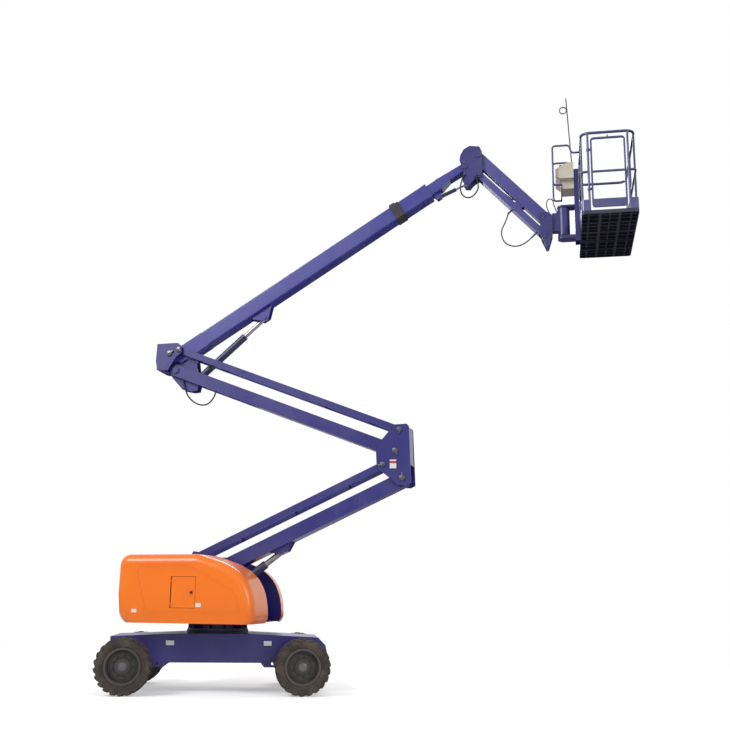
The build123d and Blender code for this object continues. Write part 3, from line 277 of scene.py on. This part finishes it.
# Each row: material name, base colour, dust colour, gloss, coat, dusty, metal
paints = {
    "chassis": paint("chassis_paint", (34, 28, 112), (104, 100, 150), 0.36, 0.3, 0.2),
    "turret": paint("turret_paint", (30, 26, 104), (104, 100, 146), 0.38, 0.25, 0.2),
    "riser": paint("riser_paint", (34, 30, 116), (104, 102, 152), 0.34, 0.3, 0.2),
    "boom": paint("boom_paint", (48, 48, 142), (108, 110, 166), 0.32, 0.3, 0.25),
    "stage": paint("stage_paint", (50, 50, 142), (112, 114, 166), 0.32, 0.3, 0.25),
    "gooseneck": paint("gooseneck_paint", (44, 42, 116), (108, 106, 152), 0.38, 0.25, 0.25),
    "jib": paint("jib_paint", (66, 64, 140), (124, 124, 170), 0.36, 0.3, 0.3),
    "rail": paint("rail_paint", (58, 60, 116), (150, 152, 182), 0.26, 0.45, 0.35, 0.15),
    "toe": paint("toe_paint", (82, 84, 136), (156, 158, 186), 0.22, 0.5, 0.35, 0.25),
    "gate": paint("gate_paint", (66, 68, 122), (144, 146, 178), 0.28, 0.35, 0.3, 0.15),
    "rim": paint("rim_paint", (58, 55, 54), (120, 112, 104), 0.55, 0.0, 0.5),
    "barrel": paint("barrel_paint", (38, 41, 78), (126, 124, 150), 0.40, 0.2, 0.4),
    "steel": paint("dark_steel", (44, 44, 52), (112, 108, 106), 0.48, 0.0, 0.5, 0.3),
    "weight": paint("weight_paint", (40, 40, 62), (104, 100, 106), 0.55, 0.0, 0.6),
    "engine": paint("engine_metal", (92, 92, 96), (116, 110, 104), 0.5, 0.0, 0.5, 0.5),
    "grate": paint("grate_metal", (56, 56, 78), (112, 110, 122), 0.45, 0.0, 0.3, 0.5),
    "console": paint("console_plastic", (214, 208, 188), (178, 170, 150), 0.5, 0.0, 0.4),
    "cap": paint("pin_cap_metal", (100, 98, 104), (150, 146, 148), 0.28, 0.2, 0.2, 0.6),
    "label": paint("label_white", (226, 226, 224), (188, 184, 178), 0.45, 0.1, 0.1),
    "red": paint("band_red", (176, 44, 40), (150, 92, 86), 0.45, 0.1, 0.1),
    "hose": paint("hose_rubber_finish", (30, 29, 32), (84, 80, 78), 0.62, 0.0, 0.5),
}
print(len(paints), "paints")

# %% [markdown]
# The hoods are moulded and glossy: the colour is strong and even, with a clear coat, a soft
# orange-peel ripple and only a breath of dust on top.

# %% Hood, rubber, rod and lamp finishes
def hood_gloss():
    finish = Finish("hood_gloss_orange")
    clouds = finish.noise(1.1, 3).step(0.3, 0.7)
    speckle = finish.noise(40, 5, 0.6).step(0.58, 0.75)
    low = 1 - finish.height().step(0.92, 1.35)
    tone = finish.mix(clouds * 0.5, colour(250, 122, 0), colour(240, 108, 4))
    grime = low * (0.12 + 0.25 * speckle) + speckle * 0.04
    finish.feed("Base Color", finish.mix(grime, tone, colour(158, 88, 40)))
    finish.feed("Roughness", 0.30 + 0.3 * grime + 0.05 * clouds)
    finish.shader.inputs["Coat Weight"].default_value = 0.3
    finish.shader.inputs["Coat Roughness"].default_value = 0.16
    finish.bump(finish.noise(22, 2), 0.05, 0.003)
    return finish.material


def tyre_rubber():
    finish = Finish("tyre_rubber_finish")
    clouds = finish.noise(5, 5, 0.6).step(0.35, 0.7)
    speckle = finish.noise(70, 4).step(0.45, 0.7)
    mud = clouds * 0.65 + speckle * 0.25
    finish.feed("Base Color", finish.mix(mud, colour(40, 36, 34), colour(96, 82, 70)))
    finish.feed("Roughness", 0.78 + 0.15 * mud)
    finish.bump(finish.noise(90, 4) + speckle, 0.3, 0.003)
    return finish.material


def rod_chrome():
    finish = Finish("dusty_rod")
    dust = finish.noise(12, 4).step(0.35, 0.75)
    finish.feed("Base Color", finish.mix(dust * 0.6, colour(176, 174, 178), colour(122, 112, 106)))
    finish.feed("Metallic", 0.9 - 0.6 * dust)
    finish.feed("Roughness", 0.22 + 0.3 * dust)
    finish.bump(finish.noise(80, 2, 0.5), 0.04, 0.001)
    return finish.material


def amber_lens():
    finish = Finish("amber_lens")
    haze = finish.noise(30, 3).step(0.4, 0.7)
    finish.feed("Base Color", finish.mix(haze * 0.3, colour(222, 146, 74), colour(196, 160, 120)))
    finish.feed("Roughness", 0.25 + 0.2 * haze)
    finish.shader.inputs["Coat Weight"].default_value = 0.5
    finish.bump(finish.noise(60, 2), 0.08, 0.001)
    return finish.material


hood_finish = hood_gloss()
rubber_finish = tyre_rubber()
rod_finish = rod_chrome()
amber_finish = amber_lens()
for hose in hoses:
    hose.data.materials.append(paints["hose"])
print("hood, rubber, rod and lens finishes ready")

# %% Finishes on the CAD nodes
node_finish = {
    hood_finish: ("hood_near", "hood_far", "access_door"),
    amber_finish: ("beacon",),
    rod_finish: ("lift_rod", "main_rod", "level_rod", "jib_rod"),
    paints["chassis"]: (
        "chassis_frame", "drive_axle", "steer_axle", "knuckle_near", "knuckle_far",
    ),
    paints["turret"]: ("turret_frame",),
    paints["riser"]: (
        "lower_arm", "lower_link", "mid_upright", "upper_arm", "upper_link", "top_knuckle",
    ),
    paints["boom"]: ("boom_section",),
    paints["stage"]: ("boom_stage",),
    paints["gooseneck"]: ("gooseneck", "jib_end", "rotator", "platform_mount"),
    paints["jib"]: ("jib_arm", "jib_link"),
    paints["rail"]: ("guard_rail", "console_guard"),
    paints["toe"]: ("toe_board",),
    paints["gate"]: ("platform_gate",),
    paints["rim"]: ("steer_rim_near", "steer_rim_far", "drive_rim_near", "drive_rim_far"),
    paints["barrel"]: ("lift_barrel", "main_barrel", "level_barrel", "jib_barrel"),
    paints["steel"]: ("slew_ring", "tie_rod", "boom_collar", "wind_mast"),
    paints["weight"]: ("counterweight",),
    paints["engine"]: ("engine_block",),
    paints["grate"]: ("platform_floor",),
    paints["console"]: ("control_console",),
}
for finish_material, names in node_finish.items():
    for name in names:
        for material_slot in nodes[name].material_slots:
            material_slot.material = finish_material
print(sum(len(names) for names in node_finish.values()), "CAD nodes dressed")

# %% [markdown]
# The floor is a large pale plane. Its own colour takes the shadow, and a Light Path mix keeps
# the far background white.

# %% Floor and world
floor_fade_start, floor_fade_end = 4, 13


def pale_floor():
    bm = bmesh.new()
    bmesh.ops.create_grid(bm, x_segments=1, y_segments=1, size=60)
    mesh = bpy.data.meshes.new("studio_floor")
    bm.to_mesh(mesh)
    bm.free()
    floor = bpy.data.objects.new("studio_floor", mesh)
    bpy.context.scene.collection.objects.link(floor)
    finish = Finish("pale_floor")
    distance = finish.node("ShaderNodeVectorMath", "Value", {"operation": "LENGTH"},
                           {0: finish.place()})
    far_away = distance.step(floor_fade_start, floor_fade_end)
    finish.feed("Base Color", finish.mix(far_away, (0.86, 0.86, 0.86, 1), (0, 0, 0, 1)))
    finish.feed("Roughness", 0.9)
    finish.shader.inputs["Specular IOR Level"].default_value = 0
    rays = finish.node("ShaderNodeLightPath", "Is Camera Ray")
    glow = finish.mix(far_away, (0.36, 0.36, 0.36, 1), (1, 1, 1, 1))
    finish.feed("Emission Color", finish.mix(rays, (0, 0, 0, 1), glow))
    finish.shader.inputs["Emission Strength"].default_value = 1
    mesh.materials.append(finish.material)


def white_world():
    world = bpy.data.worlds.new("studio")
    bpy.context.scene.world = world
    world.use_nodes = True
    tree = world.node_tree
    background = tree.nodes["Background"]
    background.inputs["Color"].default_value = (1, 1, 1, 1)
    path = tree.nodes.new("ShaderNodeLightPath")
    seen = Value(tree, path.outputs["Is Camera Ray"])
    mirrored = Value(tree, path.outputs["Is Glossy Ray"])
    through = Value(tree, path.outputs["Is Transmission Ray"])
    strength = 0.55 + 0.45 * seen + 0.25 * mirrored + 0.25 * through
    tree.links.new(strength.socket, background.inputs["Strength"])


pale_floor()
white_world()
print("floor and world ready")

# %% [markdown]
# A few helpers turn bmesh shapes into pieces. Each new piece keeps its object at the origin
# and rides on a body by name.

# %% Piece helpers
new_pieces = list(hoses)
trim_sharp_angle = 32
same_place = 1e-5


def mesh_object(name, bm, material, sharp_angle=None):
    mesh = bpy.data.meshes.new(name)
    bm.to_mesh(mesh)
    bm.free()
    mesh.materials.append(material)
    if sharp_angle:
        mesh.shade_smooth()
        mesh.set_sharp_from_angle(angle=math.radians(sharp_angle))
    made = bpy.data.objects.new(name, mesh)
    bpy.context.scene.collection.objects.link(made)
    new_pieces.append(made)
    return made


def add_piece(name, bm, material, body, smooth=False):
    bmesh.ops.recalc_face_normals(bm, faces=bm.faces[:])
    piece = mesh_object(name, bm, material, trim_sharp_angle if smooth else None)
    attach(piece, body)
    return piece


def round_off(bm, geom, offset, segments=2, affect="EDGES"):
    return bmesh.ops.bevel(bm, geom=geom, offset=offset, segments=segments, profile=0.5,
                           affect=affect, material=-1)


# A bevel makes new corners and removes old ones: these are all that the shape has now
def corners_after(cut, verts):
    made = {vert for face in cut["faces"] for vert in face.verts}
    return list(made | {vert for vert in verts if vert.is_valid})


def block(bm, size, matrix, rounding):
    made = bmesh.ops.create_cube(bm, size=1)
    verts = made["verts"]
    bmesh.ops.scale(bm, vec=size, verts=verts)
    edges = list({edge for vert in verts for edge in vert.link_edges})
    if rounding:
        verts = corners_after(round_off(bm, edges, rounding), verts)
    bmesh.ops.transform(bm, matrix=matrix, verts=verts)


def disc(bm, radius, height, matrix, steps=24, rounding=0.003):
    made = bmesh.ops.create_cone(bm, cap_ends=True, segments=steps, radius1=radius,
                                 radius2=radius, depth=height)
    verts = made["verts"]
    rims = [e for e in {e for v in verts for e in v.link_edges}
            if all(abs(v.co.z - height / 2) < same_place for v in e.verts)]
    verts = corners_after(round_off(bm, rims, rounding), verts)
    bmesh.ops.transform(bm, matrix=matrix, verts=verts)


# A closed profile of (radius, height) pairs, spun once round Z
def spun_ring(bm, profile, steps):
    ring = [bm.verts.new((radius, 0, height)) for radius, height in profile]
    edges = [bm.edges.new((ring[i], ring[(i + 1) % len(ring)])) for i in range(len(ring))]
    bmesh.ops.spin(bm, geom=ring + edges, cent=(0, 0, 0), axis=(0, 0, 1), angle=math.tau,
                   steps=steps, use_merge=True)


# A cap's own +Z is turned to face the near side (-Y) or the far side (+Y)
def facing(side):
    return Matrix.Rotation(math.radians(90 * side), 4, "X")


def on_circle(radius, number, count, height):
    angle = number * math.tau / count
    return Matrix.Translation((radius * math.cos(angle), radius * math.sin(angle), height))


print("piece helpers ready")

# %% [markdown]
# Tyres. A rough-terrain tyre is one section spun round the axle, then twenty-two heavy lugs at
# each shoulder. Spinning a short profile gives clean rings, and each lug is a bevelled block
# set into the tread at an angle.

# %% Tyres
slew_turn = math.radians(16.7)
half_base = 1.14
half_track = 0.95
axle_height = 0.36
# Just under the CAD tyre's radius, so that no lug reaches below the ground
tread_reach = 0.3598
tyre_steps = 72
lug_count = 22
tread_lug_size, tread_lug_at, tread_lug_lean = (0.040, 0.040, 0.100), (0.337, 0.066), 24
wall_lug_size, wall_lug_at, wall_lug_lean = (0.050, 0.034, 0.018), (0.318, 0.108), -14
wall_lug_shift = 0.012
mould_ring = ((0.268, 0.1140), (0.272, 0.1195), (0.277, 0.1195), (0.281, 0.1150))
tyre_profile = (
    (0.236, -0.096), (0.250, -0.112), (0.285, -0.118), (0.318, -0.116), (0.336, -0.104),
    (0.342, -0.070), (0.344, 0.0), (0.342, 0.070), (0.336, 0.104), (0.318, 0.116),
    (0.285, 0.118), (0.250, 0.112), (0.236, 0.096), (0.223, 0.088), (0.223, -0.088),
)
wheels = [
    (end, where, along, side)
    for end, along in (("steer", -half_base), ("drive", half_base))
    for where, side in (("near", 1), ("far", -1))
]


def wheel_place(along, side):
    turned = Matrix.Rotation(slew_turn, 4, "Z")
    centre = turned @ Vector((along, -side * half_track, axle_height))
    return Matrix.Translation(centre) @ turned @ facing(side)


def lugged_tyre(name, node, body, along, side):
    bm = bmesh.new()
    spun_ring(bm, tyre_profile, tyre_steps)
    for number in range(lug_count):
        for shoulder in (-1, 1):
            angle = (number + 0.25 * (1 + shoulder)) * math.tau / lug_count
            place = (
                Matrix.Rotation(angle, 4, "Z")
                @ Matrix.Translation((tread_lug_at[0], 0, shoulder * tread_lug_at[1]))
                @ Matrix.Rotation(shoulder * math.radians(tread_lug_lean), 4, "X")
            )
            block(bm, tread_lug_size, place, 0.006)
            wall = (
                Matrix.Rotation(angle, 4, "Z")
                @ Matrix.Translation((
                    wall_lug_at[0], shoulder * wall_lug_shift, shoulder * wall_lug_at[1],
                ))
                @ Matrix.Rotation(shoulder * math.radians(wall_lug_lean), 4, "Y")
            )
            block(bm, wall_lug_size, wall, 0.005)
    # A thin raised ring on the sidewall, as moulds leave
    for side_of_tyre in (-1, 1):
        spun_ring(bm, [(radius, side_of_tyre * across) for radius, across in mould_ring],
                  tyre_steps)
    far = max(math.hypot(v.co.x, v.co.y) for v in bm.verts)
    squeeze = tread_reach / far
    bmesh.ops.scale(bm, vec=(squeeze, squeeze, 1), verts=bm.verts[:])
    bmesh.ops.transform(bm, matrix=wheel_place(along, side), verts=bm.verts[:])
    tyre = add_piece(name, bm, rubber_finish, body, smooth=True)
    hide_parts(node)


for end, where, along, side in wheels:
    lugged_tyre(f"{end}_lug_tyre_{where}", f"{end}_tyre_{where}", f"{end}_wheel_{where}",
                along, side)
print("four tyres with", lug_count, "lugs on each shoulder")

# %% Wheel bolts and hub caps
bolt_count, bolt_circle, bolt_height = 9, 0.125, 0.018
cap_bolt_count, cap_bolt_circle = 6, 0.038
cap_heights = {"steer": 0.062, "drive": 0.082}
# Raised rings of the rim's disc: radius, foot and crest, with a profile 16 mm wide
rim_rings = ((0.165, 0.008, 0.014), (0.192, -0.004, 0.010))


def wheel_fittings(end, where, along, side):
    body = f"{end}_wheel_{where}"
    bm = bmesh.new()
    for number in range(bolt_count):
        disc(bm, 0.013, 0.022, on_circle(bolt_circle, number, bolt_count, bolt_height), 6, 0.003)
    for radius, low, high in rim_rings:
        spun_ring(bm, ((radius - 0.008, low), (radius - 0.006, high), (radius + 0.006, high),
                       (radius + 0.008, low)), 48)
    bmesh.ops.transform(bm, matrix=wheel_place(along, side), verts=bm.verts[:])
    add_piece(f"{end}_wheel_bolts_{where}", bm, paints["steel"], body, True)
    bm = bmesh.new()
    cap_at = cap_heights[end]
    disc(bm, 0.052, 0.012, Matrix.Translation((0, 0, cap_at)), 32, 0.005)
    for number in range(cap_bolt_count):
        place = on_circle(cap_bolt_circle, number, cap_bolt_count, cap_at + 0.008)
        disc(bm, 0.007, 0.008, place, 6, 0.002)
    bmesh.ops.transform(bm, matrix=wheel_place(along, side), verts=bm.verts[:])
    add_piece(f"{end}_hub_cap_{where}", bm, paints["cap"], body, True)


for end, where, along, side in wheels:
    wheel_fittings(end, where, along, side)
print("wheel bolts and hub caps on four wheels")

# %% [markdown]
# The pins of the arms end in a round cap with a keeper plate and one bolt. The cap sits on the
# outer face of the part that holds the pin. The CAD node's own box gives that face, apart from
# three nodes that are wider elsewhere than at the pin.

# %% Pin caps
plate_faces = {"turret_frame": 0.229, "gooseneck": 0.112, "jib_end": 0.107}


def pin_cap(name, body, x, z, outer, radius, angle):
    for where, side in (("near", 1), ("far", -1)):
        bm = bmesh.new()
        place = Matrix.Translation((x, -side * (outer + 0.003), z)) @ facing(side)
        disc(bm, radius, 0.010, place, 32, 0.003)
        disc(bm, radius * 0.45, 0.016, place, 24, 0.003)
        keeper = place @ Matrix.Rotation(math.radians(angle), 4, "Z")
        plate_at = keeper @ Matrix.Translation((radius * 0.75, 0, 0.004))
        block(bm, (radius * 2.1, 0.022, 0.007), plate_at, 0.002)
        disc(bm, 0.008, 0.010, keeper @ Matrix.Translation((radius * 1.55, 0, 0.010)), 6, 0.002)
        add_piece(f"{name}_{where}", bm, paints["cap"], body, True)


def reach(node):
    low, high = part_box(node)
    return max(abs(low.y), abs(high.y))


for name, body, node, x, z, radius, angle in (
    ("boom_pin_cap", "top_knuckle", "top_knuckle", -0.840, 4.680, 0.040, 30),
    ("knuckle_link_cap", "top_knuckle", "top_knuckle", -0.700, 4.735, 0.036, -40),
    ("upright_pin_cap", "mid_upright", "mid_upright", 2.600, 2.830, 0.040, 90),
    ("upright_link_cap", "mid_upright", "mid_upright", 2.330, 3.018, 0.034, 200),
    ("upper_pin_cap", "mid_upright", "mid_upright", 2.500, 3.205, 0.038, -60),
    ("upper_link_cap", "mid_upright", "mid_upright", 2.560, 3.497, 0.034, -90),
    ("lower_pin_cap", "turret", "turret_frame", -0.018, 1.582, 0.040, 0),
    ("goose_pin_cap", "gooseneck", "gooseneck", 3.483, 7.349, 0.038, 90),
    ("jib_pin_cap", "gooseneck", "gooseneck", 3.670, 7.500, 0.030, 0),
    ("jib_link_cap", "gooseneck", "gooseneck", 3.690, 7.220, 0.030, 30),
    ("jib_end_cap", "jib_end", "jib_end", 4.581, 6.530, 0.030, -90),
    ("jib_end_link_cap", "jib_end", "jib_end", 4.601, 6.250, 0.030, -90),
):
    pin_cap(name, body, x, z, plate_faces.get(node, reach(node)), radius, angle)
print("pin caps on both sides,", len(new_pieces), "pieces so far")

# %% [markdown]
# The hoods are one-piece mouldings with soft corners. The CAD shell has flat facets along its
# front, so each hood is made again: the outline becomes one face, its corners are rounded, it
# is extruded across, and the outer rim is bevelled in eight steps. The outline runs on below
# the hood's edge and is cut off level afterwards. Solidify gives the wall.

# %% Hood shells
hood_outline = (
    (-0.846, 0.790), (-1.040, 0.960), (-1.075, 1.250), (-1.070, 1.680), (-0.990, 1.766),
    (0.030, 1.776), (0.412, 1.662), (0.632, 1.525), (0.757, 1.330), (0.812, 1.080),
    (0.807, 0.950), (0.714, 0.790),
)
hood_foot = 0.891
hood_inboard, hood_outboard, hood_wall = 0.340, 1.030, 0.012
hood_rim_rounding, hood_sharp_angle = 0.118, 40
# Corners of the outline to round, by their place in the list, and by how much
front, top_back, foot_back, foot_front = slice(6, 10), slice(3, 6), slice(1, 2), slice(10, 11)
hood_rounding = ((front, 0.10), (top_back, 0.052), (foot_back, 0.06), (foot_front, 0.028))


def cut_at(bm, point, normal, clear=False):
    bmesh.ops.bisect_plane(bm, geom=bm.verts[:] + bm.edges[:] + bm.faces[:], dist=same_place,
                           plane_co=point, plane_no=normal, clear_outer=clear)


def hood_shell(name, node, side, swept_back, hole=None):
    bm = bmesh.new()
    corners = [bm.verts.new((x, -side * hood_inboard, z)) for x, z in hood_outline]
    bm.faces.new(corners)
    for group, offset in hood_rounding:
        round_off(bm, corners[group], offset, 6, "VERTICES")
    bm.faces.ensure_lookup_table()
    raised = bmesh.ops.extrude_face_region(bm, geom=bm.faces[:])
    moved = [v for v in raised["geom"] if isinstance(v, bmesh.types.BMVert)]
    bmesh.ops.translate(bm, vec=(0, -side * (hood_outboard - hood_inboard), 0), verts=moved)
    # Only the front of the outer side leans back
    bmesh.ops.translate(bm, vec=(-swept_back, 0, 0), verts=[v for v in moved if v.co.x > 0.2])
    bmesh.ops.recalc_face_normals(bm, faces=bm.faces[:])
    rim = [e for e in bm.edges if all(v in set(moved) for v in e.verts)
           and not all(v.co.z < 0.7905 for v in e.verts)]
    round_off(bm, rim, hood_rim_rounding, 8)
    open_faces = [f for f in bm.faces
                  if all(abs(v.co.y + side * hood_inboard) < 1e-4 for v in f.verts)]
    bmesh.ops.delete(bm, geom=open_faces, context="FACES")
    cut_at(bm, (0, 0, hood_foot), (0, 0, -1), clear=True)
    if hole:
        left, right, bottom, top = hole
        for x in (left, right):
            cut_at(bm, (x, 0, 0), (1, 0, 0))
        for z in (bottom, top):
            cut_at(bm, (0, 0, z), (0, 0, 1))
        inside = []
        for face in bm.faces:
            middle = face.calc_center_median()
            if left < middle.x < right and bottom < middle.z < top and abs(middle.y) > 1.0:
                inside.append(face)
        bmesh.ops.delete(bm, geom=inside, context="FACES")
    shell = mesh_object(name, bm, hood_finish, hood_sharp_angle)
    wall = shell.modifiers.new("wall", "SOLIDIFY")
    wall.thickness = hood_wall
    wall.offset = -1
    even = shell.modifiers.new("even_shading", "WEIGHTED_NORMAL")
    even.keep_sharp = True
    even.weight = 100
    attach(shell, node)
    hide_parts(node)
    print(name, len(shell.data.polygons), "faces")


low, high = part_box("access_door")
door_gap = 0.005
hood_shell("near_hood_shell", "hood_near", 1, 0,
           (low.x - door_gap, high.x + door_gap, low.z - door_gap, high.z + door_gap))
hood_shell("far_hood_shell", "hood_far", -1, 0.150)

# %% [markdown]
# The near hood has a thin raised line that runs round its panel, a round lock in the inset door
# and small blank labels. The line is one polygon with rounded corners, inset once: only the
# ring that the inset leaves is kept and raised.

# %% Hood trim
def raised_line(name, outline, face_y, width, height, corner):
    bm = bmesh.new()
    verts = [bm.verts.new((x, face_y, z)) for x, z in outline]
    bm.faces.new(verts)
    round_off(bm, verts, corner, 6, "VERTICES")
    panel = max(bm.faces, key=lambda face: face.calc_area())
    bmesh.ops.inset_individual(bm, faces=[panel], thickness=width)
    bmesh.ops.delete(bm, geom=[panel], context="FACES")
    lifted = bmesh.ops.extrude_face_region(bm, geom=bm.faces[:])
    moved = [v for v in lifted["geom"] if isinstance(v, bmesh.types.BMVert)]
    bmesh.ops.translate(bm, vec=(0, -height, 0), verts=moved)
    add_piece(name, bm, hood_finish, "hood_near", True)


panel_line = (
    (-0.757, 1.642), (-0.080, 1.642), (0.564, 1.300), (0.640, 1.036), (-0.650, 1.036),
    (-0.810, 1.557),
)
raised_line("near_hood_line", panel_line, -1.0295, width=0.014, height=0.005, corner=0.05)

bm = bmesh.new()
low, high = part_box("access_door")
door_middle = (low.z + high.z) / 2
lock_place = Matrix.Translation((high.x - 0.05, low.y - 0.001, door_middle)) @ facing(1)
disc(bm, 0.019, 0.008, lock_place, 28, 0.003)
disc(bm, 0.011, 0.012, lock_place, 20, 0.002)
block(bm, (0.004, 0.014, 0.004), lock_place @ Matrix.Translation((0, 0, 0.006)), 0.001)
add_piece("door_lock", bm, paints["steel"], "access_door", True)


label_thickness = 0.003


def blank_label(name, body, place, size, material=paints["label"]):
    bm = bmesh.new()
    block(bm, (*size, label_thickness), place, 0.0012)
    add_piece(name, bm, material, body)


hood_face = -1.0305
blank_label("hood_label_front", "hood_near",
            Matrix.Translation((0.070, hood_face, 1.126)) @ facing(1), (0.075, 0.048))
blank_label("hood_label_rear", "hood_near",
            Matrix.Translation((-0.806, hood_face, 1.043)) @ facing(1), (0.070, 0.045))
for where, along in (("steer", -0.60), ("drive", 0.685)):
    turned = Matrix.Rotation(slew_turn, 4, "Z")
    spot = turned @ Matrix.Translation((along, -0.513, 0.630)) @ facing(1)
    blank_label(f"chassis_plate_{where}", "chassis", spot, (0.105, 0.060))
print("hood trim and chassis plates done")

# %% Upright label with its red band
upright_face = -reach("mid_upright") - 0.001
blank_label("upright_label", "mid_upright",
            Matrix.Translation((2.475, upright_face, 3.02)) @ facing(1), (0.090, 0.120))
blank_label("upright_band", "mid_upright",
            Matrix.Translation((2.475, upright_face - 0.002, 3.045)) @ facing(1), (0.090, 0.030),
            paints["red"])

# %% [markdown]
# The platform's floor is seen from below as a grid of dark bars. Thirteen short bars run along
# the machine and five long ones across, each a bevelled block inside the floor's tube frame.

# %% Platform grid
low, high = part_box("platform_floor")
bm = bmesh.new()
grid_low = low.z + 0.006
short_bars, long_bars = 13, 5
along_room, across_room = high.x - low.x - 0.05, high.y - low.y - 0.05
middle_x, middle_y = (low.x + high.x) / 2, (low.y + high.y) / 2
for number in range(short_bars):
    y = middle_y + (number - short_bars // 2) * across_room / short_bars
    place = Matrix.Translation((middle_x, y, grid_low + 0.018))
    block(bm, (along_room, 0.014, 0.030), place, 0.002)
for number in range(long_bars):
    x = middle_x + (number - long_bars // 2) * along_room / long_bars
    place = Matrix.Translation((x, middle_y, grid_low + 0.014))
    block(bm, (0.020, across_room, 0.024), place, 0.002)
add_piece("platform_grid", bm, paints["grate"], "platform")
print("grid of", short_bars + long_bars, "bars")

# %% Console controls
# Two levers and five buttons, each at a share of the console's length and width
lever_spots = ((0.3, 0.2), (0.3, 0.8))
button_spots = ((0.7, 0.35), (0.7, 0.5), (0.7, 0.65), (0.7, 0.2), (0.7, 0.8))
low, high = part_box("control_console")
bm = bmesh.new()


def console_spot(along_share, across_share):
    return Matrix.Translation((
        low.x + along_share * (high.x - low.x), low.y + across_share * (high.y - low.y),
        high.z - 0.012,
    ))


for shares in lever_spots:
    disc(bm, 0.022, 0.012, console_spot(*shares), 24, 0.004)
    disc(bm, 0.008, 0.030, console_spot(*shares), 16, 0.003)
for shares in button_spots:
    disc(bm, 0.010, 0.014, console_spot(*shares), 20, 0.003)
add_piece("console_controls", bm, paints["steel"], "platform", True)

# %% Count of the new pieces
print(len(new_pieces), "new pieces")
